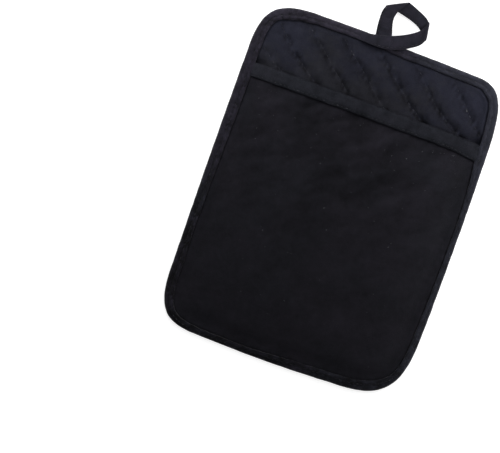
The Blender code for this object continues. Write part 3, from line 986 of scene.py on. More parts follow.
    def surface(self, share: Array, stations: Array) -> tuple[Array, Array]:
        """Points of the tape's middle surface, and its tone, with painted light and shade.

        The stitches draw the front leg down in a soft groove, the cloth has
        bumps and gathers, and the front's inner edge rolls down.

        Args:
            share: Shares across the tape's width.
            stations: Stations round the outline.

        Returns:
            Points of shape (stations, shares, 3), and tone of (stations, shares).
        """
        dense = np.linspace(0, STATIONS, 801)
        run = np.interp(stations, dense, along(self.plan.points(dense)))[:, None]
        inset, height = self.section(stations, share)
        across, front = share[None], self.front(stations)[:, None]
        groove = bell((inset - self.stitch_inset(stations)[:, None]) / self.groove_width)
        pucker = np.cos(run * math.tau / self.stitch_pitch)
        on_front, on_back = [ease(side / 0.12)[None] for side in (0.5 - share, share - 0.5)]
        folded = 1 - on_front - on_back
        bumps = self.clouds.sum(run, across, Layer(5.0, 0.16, 14), Layer(2.2, 0.07, 22, 90))
        turning = bell((np.mod(stations, 2) - 0.5) / 0.4)[:, None]
        gathers = self.clouds.at(run + across * 9, across * 5 + 400, 2.8) * 0.22 * turning
        roll = bell((inset - front) / self.roll_width) * self.roll
        pressed_in = groove * (self.groove_depth + self.groove_pucker * pucker)
        height = height + on_front * (bumps - pressed_in - roll)
        height = height + on_front * gathers
        inset = inset + on_front * self.clouds.sum(run, 0.0, Layer(7.0, 0.22, shift_y=40),
                                                   Layer(2.4, 0.09, shift_y=80))
        inset = inset + folded * self.clouds.sum(run, across, Layer(4.0, 0.12, 9, 200))
        outline = self.plan.points(stations)[:, None]
        flat = outline + self.plan.inward(stations)[:, None] * inset[..., None]
        x, y = outline.transpose(2, 0, 1)
        # painted light and shade: paler towards the top, the right and the top right corner, darker at the
        # lower left
        fade = np.interp(y, self.painted_light_and_shade_places, self.fade) + spotted(x, y, self.painted_light_corner)
        fade = fade + np.maximum(x, 0) * 0.0019 - 0.08 * ease(-x / 60) * bell((y + 65) / 45)
        # painted glints: pale specks here and there on the tape
        painted_glints = np.maximum(self.clouds.at(run, across * 25 + 300, 1.3) - 0.25, 0) * 0.75
        # painted light on the bumps and gathers where they stand up; the fold a little paler
        tone = 0.355 + fade + gathers * 0.5 + painted_glints + 0.08 * folded + bumps * 1.2
        # painted shade in the stitch groove and along the tape's inner edge
        tone = tone - 0.3 * groove * on_front * (0.5 + 0.5 * pucker) - 0.04 * bell((inset - front) / 0.6)
        x, y = flat[..., 0], flat[..., 1]
        # painted shadow where the loop lies on the tape, darker towards its outer end
        loop_shadow_mask = bell(from_line(x, y, self.loop_edge) / 1.2) * ease((0.64 - share) / 0.12)
        tone = tone - self.loop_painted_shadow * (0.75 + 0.85 * ease((x - 9) / 5)) * loop_shadow_mask
        away = from_line(x, y, self.crease)
        height = height + self.crease_height * bell(away / 0.9) * on_front
        # painted highlight along the crease's ridge and painted shade beside it
        tone = tone + (0.22 * bell(away / 0.8) - 0.14 * bell((away - 2.0) / 0.8)) * on_front
        return np.concatenate([flat, height[..., None]], axis=2), tone

    def build(self) -> bpy.types.Object:
        """The tape: its section carried round the outline.

        Returns:
            The new object.
        """
        share = np.linspace(0, 1, self.shares)
        points, tone = self.surface(share, self.plan.even_stations(self.row_pitch))
        middle = points[:, self.shares // 2]
        run = along(np.concatenate([middle, middle[:1]]))
        uv = np.stack(np.broadcast_arrays(run[:, None], share[None] * self.cloth_width), axis=2)
        x, y = points[..., 0], points[..., 1]
        # the hue leans to plum at the upper left and away from it on the right
        faded = 0.30 * ease((20 - x) / 40) * ease((y + 20) / 60) - 0.28 * ease((x - 20) / 30)
        return self.maker.walled(self.layers.tape, "edge_tape", points, uv, tone, closed=True, faded=faded)

    def stitches(self) -> bpy.types.Object:
        """Stitches along the tape's front, with a row to match on the back.

        Returns:
            The new object.
        """
        stations = self.plan.even_stations(self.stitch_pitch)
        inset = self.stitch_inset(stations)
        flat = self.plan.inset(stations, inset)
        on_front = self.height(stations) - self.layers.dip(inset) - self.stitch_sunk
        rows = [np.column_stack([flat, height]) for height in (on_front, np.full(len(flat), 0.1))]
        directions = np.concatenate([np.roll(row, -1, axis=0) - np.roll(row, 1, axis=0) for row in rows])
        lengths = 0.74 + 0.08 * self.clouds.at(np.arange(len(directions)) * 7.0, 3.0, 5.0)
        return self.maker.threads("edge_stitches", np.concatenate(rows), directions,
                                  self.stitch_pitch * lengths, *self.stitch_size)

    def make(self) -> None:
        """Build and dress the tape and its stitches."""
        tape = dress(self.build(), TAPE_COTTON, Slot.TAPE, "edge_binding")
        dress(self.stitches(), BLACK_THREAD, Slot.TAPE)


# ------------------------------------------------------------ the hand pocket
class MouthPlace(NamedTuple):
    """Where the pocket's folded edge is at x, and its tape's width there."""

    x: float
    y: float
    band: float


class Trough(NamedTuple):
    """A soft ditch in the cloth from one place to another."""

    x0: float
    y0: float
    x1: float
    y1: float
    width: float
    depth: float


@dataclass
class HandPocket(Assembly):
    """The pocket's cloth, the tape over its mouth, and their stitches."""

    plan: Plan
    layers: Thickness
    binding: EdgeBinding
    mouth: tuple[MouthPlace, ...] = (
        MouthPlace(-92.0, 78.1, 10.6), MouthPlace(-40.0, 77.6, 10.9), MouthPlace(0.0, 77.4, 10.9),
        MouthPlace(30.0, 77.0, 11.3), MouthPlace(55.0, 77.0, 11.2), MouthPlace(70.0, 76.8, 11.6),
        MouthPlace(92.0, 75.9, 13.0))
    troughs: tuple[Trough, ...] = (
        Trough(30.0, 25.0, 8.0, 4.0, 5.5, 1.1), Trough(-2.0, 66.0, -21.0, 54.0, 3.6, 1.2),
        Trough(-33.0, 66.0, -43.0, 57.0, 3.6, 1.1), Trough(0.0, 18.0, -24.0, -28.0, 7.0, 0.8),
        Trough(-58.0, 14.0, -80.0, 0.0, 8.0, 0.8), Trough(22.0, 60.0, 4.0, 47.0, 4.5, 0.6),
        Trough(-8.0, 40.0, -34.0, 22.0, 5.5, 0.6), Trough(58.0, 34.0, 40.0, 20.0, 5.0, 0.5))
    # painted light at the upper left, painted shade in the middle and towards the bottom
    painted_light_and_shade_spots: tuple[Spot, ...] = (
        Spot(-66.0, 44.0, 26.0, 36.0, 0.07), Spot(-4.0, 0.0, 36.0, 50.0, -0.13),
        Spot(-15.0, -85.0, 60.0, 40.0, -0.05))
    rise: float = 6.8           # how far the cloth swells over the pad
    mouth_rise: float = 1.2     # and how much further at the mouth
    mouth_rise_length: float = 34.0
    rise_from: float = 9.0
    rise_length: float = 42.0
    rise_ease: float = 12.0
    rise_start: float = 0.25
    cloth_inset: float = 2.8
    mouth_gap: float = 0.4
    mouth_fold: float = 1.8
    mouth_cloth_inset: float = 2.0
    seam_from_edge: float = 1.5     # from the mouth's tape's lower edge to its stitches
    stitches_from: float = -84.0
    stitches_to: float = 87.0
    stitch_size: tuple[float, float] = (0.45, 0.35)
    stitch_sunk: float = 0.24
    tape_from: float = -86.0
    tape_length: float = 175.0
    samples: int = 600          # of the outline, for each side of the cloth
    columns: int = 190
    rows: int = 205
    tape_columns: int = 301
    leg_rows: int = 11          # and as many rows round the fold
    flat: tuple[float, float] = (0.186, 0.199)      # metres, as it is cut, with round corners
    flat_area: float = 0.0352
    flat_tape: tuple[float, float] = (0.176, 0.027)
    clouds: Clouds = field(default_factory=lambda: Clouds(23))

    def mouth_line(self, x: Array) -> Array:
        """The pocket's folded edge."""
        places, edge, _ = np.array(self.mouth).T
        return np.interp(x, places, edge)

    def mouth_band(self, x: Array) -> Array:
        """Width of the tape on the pocket's edge."""
        places, _, band = np.array(self.mouth).T
        return np.interp(x, places, band)

    def trough_depth(self, x: Array, y: Array) -> Array:
        """Depth of the soft troughs, each a rounded ditch along a line."""
        return sum(trough.depth * bell(from_line(x, y, trough[:4]) / trough.width) for trough in self.troughs)

    def middle(self, x: Array, y: Array) -> Array:
        """Middle height of the cloth, which stands a little open over the pad.

        Args:
            x: Places across.
            y: Places along.

        Returns:
            Heights.
        """
        depth, soft = self.plan.depth(x, y), self.plan.soft_depth(x, y)
        beyond_tape = self.binding.beyond(x, y) + soft - depth
        beyond = np.maximum(0.5 * (soft - self.rise_from) + 0.5 * (beyond_tape - 0.6), 0)
        beyond = beyond * (ease(beyond / self.rise_ease) * (1 - self.rise_start) + self.rise_start)
        rise = 1 - (1 - np.minimum(beyond / self.rise_length, 1)) ** 2
        near_mouth = bell((self.mouth_line(x) - y) / self.mouth_rise_length)
        height = self.rise + self.mouth_rise * near_mouth - self.trough_depth(x, y)
        sunk = self.layers.dip(depth) + self.binding.pinched(x, y)
        return self.layers.pocket_rim + rise * height - sunk

    def wrinkles(self, x: Array, y: Array) -> Array:
        """Small height of wrinkles: soft waves slanting up to the right, puckers and ripples at the seams.

        Args:
            x: Places across.
            y: Places along.

        Returns:
            Heights.
        """
        noise, depth = self.clouds, self.plan.depth(x, y)
        upper = 0.3 + 0.7 * ease((y + 60) / 80)
        slanting = noise.sum(*slanted(x, y, 0.78, 0.62), Layer(30.0, 0.30, 3.4),
                             Layer(13.0, 0.20, 2.6, shift_x=40), Layer(6.5, 0.10, 1.9, shift_x=90))
        waves = slanting * upper + noise.at(x * 0.6 + 200, y, 34.0) * 0.12 + noise.at(x, y + 300, 4.5) * 0.035
        below_tape = self.mouth_line(x) - self.mouth_band(x) - y
        puckers = noise.at(x, 500.0 + y * 0.15, 2.6) * 0.22 * ease(below_tape / 0.6) * fading(below_tape, 5.0)
        ripple = noise.at((x - y) * 0.8, (x + y) * 0.8 + 900, 3.4) * 0.14 * fading(depth - 8.0, 4.5)
        return waves * ease((depth - 8.0) / 12.0) + puckers + ripple

    def side(self, first: float, last: float) -> Array:
        """The cloth's edge between two stations, below the mouth."""
        points = self.plan.inset(np.linspace(first, last, self.samples), self.cloth_inset)
        return points[points[:, 1] < self.mouth_line(points[:, 0]) - self.mouth_cloth_inset]

    def build_cloth(self) -> bpy.types.Object:
        """The pocket's cloth, a grid that fills its four edges.

        Returns:
            The new object.
        """
        s, t = np.linspace(0, 1, self.columns + 1), np.linspace(0, 1, self.rows + 1)
        left, right = resample(self.side(6.5, 8.0)[::-1], t), resample(self.side(2.5, 4.5), t)
        bottom = resample(self.plan.inset(np.linspace(6.5, 4.5, self.samples), self.cloth_inset), s)
        x = left[0, 0] + (right[0, 0] - left[0, 0]) * s
        top = np.column_stack([x, self.mouth_line(x) - self.mouth_cloth_inset])
        top[0], top[-1] = left[0], right[0]
        flat = patch(top, right, bottom, left, s, t)
        x, y = flat[..., 0], flat[..., 1]
        wrinkles = self.wrinkles(x, y)
        # painted light and shade of soft slanting folds, stronger towards the top
        painted_fold_streaks = self.clouds.sum(*slanted(x, y), Layer(14.0, 0.09, 2.6, 800), Layer(5.0, 0.07, 1.6, 900))
        painted_fold_streaks = (painted_fold_streaks + self.clouds.at(x + 1000, y, 2.6) * 0.035) * (0.25 + 0.75 * ease((y + 40) / 90))
        # painted light on a band near the bottom, against the shade of the cloth's slope there
        foot = 0.05 * bell((self.plan.soft_depth(x, y) - 17) / 7) * ease((-y - 40) / 40)
        below_tape = self.mouth_line(x) - self.mouth_band(x) - y
        # painted light on the wrinkles' ridges and towards the top, painted shade in the troughs and beside
        # the edge tape, and painted light just below the mouth's tape against its shadow
        tone = (0.37 + spotted(x, y, *self.painted_light_and_shade_spots) + foot + wrinkles * 0.3 + painted_fold_streaks + y * 0.0006
                - self.trough_depth(x, y) * 0.085 - 0.05 * bell(self.binding.beyond(x, y) / 0.5)
                + 0.07 * bell(below_tape - 1.0))
        points = np.dstack([x, y, self.middle(x, y) + wrinkles])
        return self.maker.walled(self.layers.cloth, "pocket_cloth_panel",
                                 points[::-1], flat[::-1], tone[::-1])

    def tape_ends(self, y: Array, reach: float) -> list[Array]:
        """Where the edge tape's inner edges are at each y, less a small reach.

        Args:
            y: Places along.
            reach: How far under the tape.

        Returns:
            The left and the right inner edge's x at each y.
        """
        ends = []
        for first, last in ((6.9, 8.0), (2.05, 3.6)):
            dense = np.linspace(first, last, 400)
            line = self.plan.inset(dense, self.binding.front(dense) - reach)
            line = line[np.argsort(line[:, 1])]
            ends.append(np.interp(y, line[:, 1], line[:, 0]))
        return ends

    def build_tape(self) -> bpy.types.Object:
        """The tape folded over the mouth, its section carried across.

        Returns:
            The new object.
        """
        share = np.linspace(0, 1, self.tape_columns)
        x = self.tape_from + self.tape_length * share
        band = self.mouth_band(x)[:, None]
        turn = np.linspace(math.pi / 2, -math.pi / 2, self.leg_rows)
        legs = np.linspace(1, 0, self.leg_rows + 1)[:-1]
        start = self.layers.tape / 2
        half = self.layers.cloth / 2 + self.mouth_gap + start
        fold = start + self.mouth_fold * (1 - np.cos(turn))[None] + 0 * band
        reach = start + self.mouth_fold
        wobble = self.clouds.sum(x, 0.0, Layer(9.0, 0.2, shift_y=700), Layer(3.0, 0.1, shift_y=730))[:, None]
        front = reach + (band - reach) * legs[None] + wobble * legs[None]
        inset = np.concatenate([front, fold, front[:, ::-1]], axis=1)
        level = np.concatenate([np.full(self.leg_rows, 1.0), np.sin(turn), np.full(self.leg_rows, -1.0)])
        y = self.mouth_line(x)[:, None] - inset
        first, last = self.tape_ends(y, 0.4)
        x = first + (last - first) * share[:, None]
        seam = bell((inset - band + self.seam_from_edge) / 0.8)
        pucker = np.cos(x * math.tau / self.binding.stitch_pitch) * 0.08 + 0.2
        bumps = self.clouds.sum(x, y, Layer(6.0, 0.12, shift_y=600), Layer(2.4, 0.05, shift_y=640))
        roll = bell((inset - band) / 1.1) * self.binding.roll
        height = level * half + (level > 0.5)[None] * (bumps - seam * pucker - roll)
        points = np.dstack([x, y, self.middle(x, y) + height])
        middle_section = np.column_stack([inset[self.tape_columns // 2], level * half])
        across = np.broadcast_to(along(middle_section)[None], x.shape)
        # painted light on the bumps and towards the left end; painted shade in the seam, along the fold, at
        # the lower edge and towards the right end
        tone = (0.37 + bumps * 0.6 - seam * 0.12 + self.clouds.at(x, y + 1300, 2.2) * 0.05
                + 0.085 * bell((x + 88) / 50) - 0.03 * ease((x - 30) / 30)
                - 0.22 * bell((inset - 0.4) / 1.1) - 0.03 * bell((inset - band) / 0.5))
        return self.maker.walled(self.layers.tape, "mouth_tape", points, np.dstack([x, across]), tone)

    def stitches(self) -> bpy.types.Object:
        """The row of stitches that holds the mouth's tape.

        Returns:
            The new object.
        """
        x = np.arange(self.stitches_from, self.stitches_to, self.binding.stitch_pitch)
        y = self.mouth_line(x) - self.mouth_band(x) + self.seam_from_edge
        lift = self.layers.cloth / 2 + self.mouth_gap + self.layers.tape - self.stitch_sunk
        lift = lift + 0.12 * self.clouds.at(x, 1700.0, 5.0)
        middles = np.column_stack([x, y, self.middle(x, y) + lift])
        directions = unit(np.gradient(middles, axis=0))
        lengths = self.binding.stitch_pitch * (0.66 + 0.12 * self.clouds.at(x, 1750.0, 4.0))
        return self.maker.threads("mouth_stitches", middles, directions, lengths, *self.stitch_size,
                                  np.cross(directions, np.array([0.0, 1.0, 0.0])))

    def make(self) -> None:
        """Build and dress the cloth, the mouth's tape and its stitches."""
        cloth = dress(self.build_cloth(), POCKET_COTTON, Slot.POCKET, "pocket_panel")
        tape = dress(self.build_tape(), MOUTH_COTTON, Slot.TAPE, "mouth_binding")
        dress(self.stitches(), BLACK_THREAD, Slot.TAPE)


# ------------------------------------------------------------ the quilted pad
class QuiltLine(NamedTuple):
    """A stitched line, by its distance from the plan's middle."""

    place: float
    at_mouth: float         # how deep its channel is beside the mouth, as a share
    at_top: float           # the same near the top
    shade: float            # painted lee shade, as tone, just below the line
    bow: float              # how far it strays half way up
    foot: float             # how far it strays beside the mouth
    tilt: float = 0.0       # how far it strays for each mm along it


@dataclass
class QuiltedPad(Assembly):
    """The padded back: two cloths stitched through in slanting channels."""

    plan: Plan
    layers: Thickness
    binding: EdgeBinding
    pocket: HandPocket
    angle: float = math.radians(-41)
    pitch: float = 17.5
    reach: float = 170.0            # how far from the middle any line can lie
    seen: tuple[QuiltLine, ...] = (     # the first just shows in the mouth's left corner
        QuiltLine(15.5, 0.25, 0.25, 0.0, 1.9, -1.0), QuiltLine(33.0, 0.77, 0.40, 0.20, 1.9, -1.0),
        QuiltLine(50.5, 0.60, 0.25, 0.19, 0.4, -1.0), QuiltLine(67.5, 0.55, 0.38, 0.15, -0.3, 0.0),
        QuiltLine(86.0, 1.05, 0.65, 0.34, 0.2, -2.4), QuiltLine(104.3, 0.92, 0.45, 0.17, 2.2, -1.4),
        QuiltLine(120.5, 0.80, 0.70, 0.08, 1.0, 0.0, 0.1))
    foot_middle: float = 76.0
    foot_length: float = 6.0
    tilt_middle: float = -9.0
    tilt_reach: float = 25.0
    bow_middle: float = 93.0
    bow_length: float = 15.0
    fill: float = 0.5
    flush: float = 0.5              # how far the pad swells beside the tape on the right
    crest: float = 5.0
    valley: float = 2.9
    valley_low: float = 1.2
    level_to: float = 9.5
    full_from: float = 21.0
    pillow_power: float = 2.4
    underside_flat: float = 1.5
    press_clearance: float = 0.35
    cloth_inset: float = 2.8
    base_tone: float = 0.39
    painted_shade_above_mouth: Spot = Spot(-12.0, 0.0, 50.0, 14.0, -0.05)    # painted shade, by x, and y above the mouth
    painted_light_by_tape: Spot = Spot(1.0, 3.0, 2.2, 7.0, 0.18)                # painted light in the shaded pits by the tape at the mouth's ends, by way in from the tape, and the same y
    painted_light_and_shadow_by_top_tape: tuple[Spot, ...] = (                                 # painted light under the loop and painted shadow at the top left, by x, and way in from the tape
        Spot(-4.0, 0.8, 14.0, 1.2, 0.08), Spot(-70.0, 0.4, 10.0, 0.9, -0.10))
    plum_spot: Spot = Spot(-8.0, 0.0, 62.0, 24.0, 0.34)             # of the hue, by x, and y above the mouth
    blue: float = -0.14
    blue_below: float = -0.10
    stitch_pitch: float = 3.0
    stitch_depth: float = 9.6       # the quilting's stitches keep this far from the outline
    stitch_size: tuple[float, float] = (0.42, 0.34)
    samples: int = 800              # of the outline, for each side of the pad
    columns: int = 215
    rows_top: int = 92
    rows_below: int = 84
    share_top: float = 0.27         # of the pad's length that shows above the pocket
    clouds: Clouds = field(default_factory=lambda: Clouds(37))

    def lines(self) -> Array:
        """Distances of all the stitched lines from the middle, in rising order.

        Returns:
            The distances.
        """
        seen = [line.place for line in self.seen]
        below = np.arange(seen[0] - self.pitch, -self.reach, -self.pitch)[::-1]
        return np.concatenate([below, seen, np.arange(seen[-1] + self.pitch, self.reach, self.pitch)])

    def by_line(self, across: Array) -> list[Array]:
        """The values of the table of stitched lines, blended between the lines."""
        places, *values = np.array([[*line] for line in self.seen]).T
        return [np.interp(across, places, value) for value in values]

    def turned(self, x: Array, y: Array, way: int = 1) -> tuple[Array, Array]:
        """Places turned by the quilting's angle: across it and along it, or back for a way of -1."""
        sine, cosine = way * math.sin(self.angle), math.cos(self.angle)
        return -x * sine + y * cosine, x * cosine + y * sine

    def sway(self, run: Array, across: Array) -> Array:
        """How far the stitched lines stray from straight ones.

        Args:
            run: Places along the lines.
            across: Places across them.

        Returns:
            Distances.
        """
        up = across * math.cos(self.angle) + run * math.sin(self.angle)
        bow, foot, tilt = self.by_line(across)[3:]
        bow = bow * bell((up - self.bow_middle) / self.bow_length)
        tilt = tilt * np.clip(run - self.tilt_middle, -self.tilt_reach, self.tilt_reach)
        foot = foot * bell((up - self.foot_middle) / self.foot_length)
        wander = self.clouds.sum(run, across, Layer(22.0, 0.8, 0.3), Layer(5.0, 0.4, 0.3, 60))
        return bow + tilt + foot + wander

    def quilting(self, x: Array, y: Array) -> tuple[Array, Array, Array]:
        """The quilted relief.

        Args:
            x: Places across.
            y: Places along.

        Returns:
            The pillow's height from 0 on a stitched line to 1 on a crest, the
            signed distance to the nearest line, and the way along the line.
        """
        across, run = self.turned(x, y)
        across = across + self.sway(run, across)
        lines = self.lines()
        place = np.interp(across, lines, np.arange(len(lines)))
        pillow = 1 - np.abs(2 * (place % 1.0) - 1) ** self.pillow_power
        return pillow, across - lines[np.rint(place).astype(int)], run

    def rim(self, x: Array, y: Array) -> Array:
        """Top of the pad under the edge tape.

        Args:
            x: Places across.
            y: Places along.

        Returns:
            Heights.
        """
        layers = self.layers
        no_pocket = ease((y - self.pocket.mouth_line(x)) / 7)
        rim = layers.pad_low + layers.pad_rim + no_pocket * (layers.cloth + layers.gap)
        rim = rim - self.binding.pressed(x, y) * (layers.cloth + layers.gap)
        rim = rim - layers.dip(self.plan.depth(x, y)) - self.binding.pinched(x, y)
        return rim - self.mouth_zone(x, y) * (layers.tape + layers.gap)

    def mouth_zone(self, x: Array, y: Array) -> Array:
        """1 on the band of the mouth's tape, 0 a little way off."""
        top = self.pocket.mouth_line(x)
        return ease((top + 4.5 - y) / 4) * ease((y - top + self.pocket.mouth_band(x) + 7) / 5)

    def surfaces(self, x: Array, y: Array) -> tuple[Array, Array, Array]:
        """Underside and top of the pad, and the tone of its top.

        The top is the rim's level, rising to the quilted pillows further in,
        with puckers that die away from each stitched line. What lies on the
        pad presses it down. Its tone carries painted shade in the channels,
        below and above each line, beside the tape and along the mouth, and
        painted light on the crests and puckers and towards the top right.

        Args:
            x: Places across.
            y: Places along.

        Returns:
            The underside's height, the top's height and the top's tone.
        """
        noise, layers = self.clouds, self.layers
        depth, beyond = self.plan.depth(x, y), self.binding.beyond(x, y)
        above_mouth = y - self.pocket.mouth_line(x)
        full = ease((depth - self.level_to) / (self.full_from - self.level_to))
        pillow, nearest, run = self.quilting(x, y)
        across = self.turned(x, y)[0]
        foot, head, below = self.by_line(across)[:3]
        to_mouth = ease((36 - above_mouth) / 34)
        strength = head + (foot - head) * to_mouth
        pits = noise.at(run, across * 0.5 + 400, 2.6)
        puckers = (noise.at(run + nearest * 0.5, nearest * 0.5 + 70, 2.2) * 0.75
                   + noise.at(run, nearest * 0.4 + 140, 4.4) * 0.65)
        puckers = puckers * fading(np.abs(nearest), 3.0) * (0.5 + 0.7 * strength)
        puckers = puckers + noise.sum(*slanted(x, y), Layer(4.2, 0.16, 0.7, 240)) * full
        quilt = self.crest + noise.sum(x, y, Layer(16.0, 0.35), Layer(6.0, 0.12, shift_y=90))
        quilt = quilt - (self.crest - self.valley) * strength * (1 - pillow) + puckers
        quilt = quilt - (0.16 + 0.14 * pits) * (0.4 + 0.6 * strength) * bell(nearest / 1.4)
        top = self.rim(x, y)
        near_rim = fading(depth - 8.0, 4.0) * ease((depth - 6.0) / 2.5)
        top = top + full * (quilt - top) + near_rim * noise.at(x * 1.1, y * 1.1 + 70, 3.0) * 0.16
        top = top + self.flush * bell((beyond - 2.4) / 1.5) * ease((x - 60) / 20)
        under = self.pocket.middle(x, y) - layers.cloth / 2 - layers.gap
        under = under - self.mouth_zone(x, y) * (layers.tape + layers.gap)
        top = top - ease((8.5 - above_mouth) / 8) * np.maximum(top - under + self.press_clearance, 0)
        low = self.valley_low * (1 - np.minimum(pillow * self.underside_flat, 1.0))
        low = low + 0.25 * bell(nearest / 0.8)

        tufts = noise.at(run + nearest * 0.4, nearest * 0.7 + 600, 1.9) * bell(nearest / 3.2)
        mottle = noise.sum(x, y, Layer(7.0, 0.03, shift_y=500), Layer(2.4, 0.04, shift_y=700))
        # painted light on the crests, puckers and tufts, and towards the top right and the left
        tone = self.base_tone + 0.05 * pillow + mottle + puckers * 0.2 + tufts * (0.15 + 0.15 * strength)
        tone = tone + 0.095 * ease((x - 10) / 60) * ease((y - 80) / 25) + 0.03 * ease((-x - 20) / 40)
        # painted shade just above each line, or light where the line is weak, painted lee shade below it, a
        # painted highlight on the stitched line and painted light beyond the last line
        shadow = bell((nearest - 1.4) / 2.5) * (0.85 + 0.4 * pits)
        lee = bell((nearest + 1.9) / 1.4) + 0.40 * bell((nearest + 4.4) / 2.3)
        by_lines = (0.05 * bell(nearest / 0.6) + 0.08 * ease((across - 122) / 5)
                    - (0.15 * strength - 0.066) * shadow - below * lee * (0.75 + 0.25 * to_mouth))
        # painted shade beside the tape, above the mouth and at the top left, and painted light in the pits by
        # the tape and under the loop
        tone = tone + by_lines * full - 0.02 * bell(beyond / 0.5)
        tone = tone + spotted(x, above_mouth, self.painted_shade_above_mouth)
        tone = tone + spotted(beyond, above_mouth, self.painted_light_by_tape)
        tone = tone + spotted(x, beyond, *self.painted_light_and_shadow_by_top_tape) * ease((y - 100) / 8)
        # painted shadow line just above the mouth
        tone = tone - 0.16 * bell(above_mouth - 0.6) * (1 + noise.at(x, 1500.0, 4.0))
        return layers.pad_low + full * (low - layers.pad_low), top, tone

    def under_tone(self, x: Array, y: Array) -> Array:
        """The underside's tone: painted shade in its channels, which are a little tufted, and painted light
        on the crests.

        Args:
            x: Places across.
            y: Places along.

        Returns:
            Tones.
        """
        pillow, nearest, run = self.quilting(x, y)
        tufts = self.clouds.at(run, nearest * 0.7 + 800, 1.9) * bell(nearest / 3.2)
        mottle = self.clouds.sum(x, y, Layer(7.0, 0.03, shift_y=900), Layer(2.4, 0.04, shift_y=1100))
        return self.base_tone + 0.05 * pillow + mottle + 0.14 * tufts - 0.09 * bell(nearest / 2.2)

    def build(self) -> bpy.types.Object:
        """The pad: a top and an underside on one grid, joined at the rim.

        Returns:
            The new object.
        """
        s = np.linspace(0, 1, self.columns + 1)
        t = np.concatenate([np.linspace(0, self.share_top, self.rows_top + 1),
                            np.linspace(self.share_top, 1, self.rows_below + 1)[1:]])
        top, right, bottom, left = [
            resample(self.plan.inset(np.linspace(first, last, self.samples), self.cloth_inset), share)
            for first, last, share in ((0.5, 2.5, s), (2.5, 4.5, t), (6.5, 4.5, s), (8.5, 6.5, t))]
        flat = patch(top, right, bottom, left, s, t)
        x, y = flat[..., 0], flat[..., 1]
        low, high, tone = self.surfaces(x, y)
        rows, columns = x.shape
        count = rows * columns
        row, column = cells(rows - 1, columns - 1)
        quads = (row * columns + column)[:, [0, 3, 2, 1]]
        index = np.arange(count).reshape(rows, columns)
        border = np.concatenate([index[0, :-1], index[:-1, -1], index[-1, :0:-1], index[:0:-1, 0]])
        after = np.roll(border, -1)
        walls = np.stack([border, after, after + count, border + count], axis=1)
        faces = np.concatenate([quads, quads[:, ::-1] + count, walls])
        points = np.concatenate([np.dstack([x, y, height]).reshape(-1, 3) for height in (high, low)])
        uv = np.concatenate([flat.reshape(-1, 2)] * 2)[faces]
        plum = spotted(x, y - self.pocket.mouth_line(x), self.plum_spot)
        faded = np.concatenate([(plum + self.blue).ravel(), np.full(count, self.blue_below)])
        tones = np.concatenate([tone.ravel(), self.under_tone(x, y).ravel()])
        return self.maker.mesh("quilted_pad", points, faces, uv, tones, faded)

    def stitches(self) -> bpy.types.Object:
        """Quilting stitches on the top above the pocket and all over the back.

        Returns:
            The new object.
        """
        along_line = np.arange(-self.reach, self.reach, self.stitch_pitch)
        across, run = np.meshgrid(self.lines(), along_line, indexing="ij")
        across = (across - self.sway(run, across)).ravel()
        y, x = self.turned(run.ravel(), across, -1)
        held = (self.plan.depth(x, y) > self.stitch_depth) & self.plan.inside(x, y)
        x, y = x[held], y[held]
        under, top, _ = self.surfaces(x, y)
        shows = y > self.pocket.mouth_line(x) - 4
        lift = 0.24 * self.clouds.at(x * 3, y * 3, 5.0) - 0.04
        middles = np.concatenate([np.column_stack([x, y, top + lift])[shows],
                                  np.column_stack([x, y, under - 0.14])])
        direction = [math.cos(self.angle), math.sin(self.angle), 0.0]
        return self.maker.threads("quilting_stitches", middles, np.tile(direction, (len(middles), 1)),
                                  self.stitch_pitch * 0.7, *self.stitch_size)

    def make(self) -> None:
        """Build and dress the pad and its quilting stitches."""
        pad = dress(self.build(), QUILT_COTTON, Slot.QUILT, "back_panel")
        dress(self.stitches(), BLACK_THREAD, Slot.TAPE)


# --------------------------------------------------------------- the hanging loop
class Crossing(NamedTuple):
    """Edges of the loop's tape seen along it from its start, and its height."""

    left_x: float
    left_y: float
    right_x: float
    right_y: float
    height: float


class LoopPlace(Enum):
    """Places along the loop's tape from which others are measured."""

    START = 0
    RIGHT_FOLD = 1
    TOP_FOLD = 2
    END = 3


class Band(NamedTuple):
    """A soft band of painted light across the tape, or of painted shade if its shade is below 0."""

    place: LoopPlace
    beyond: float
    length: float
    shade: float


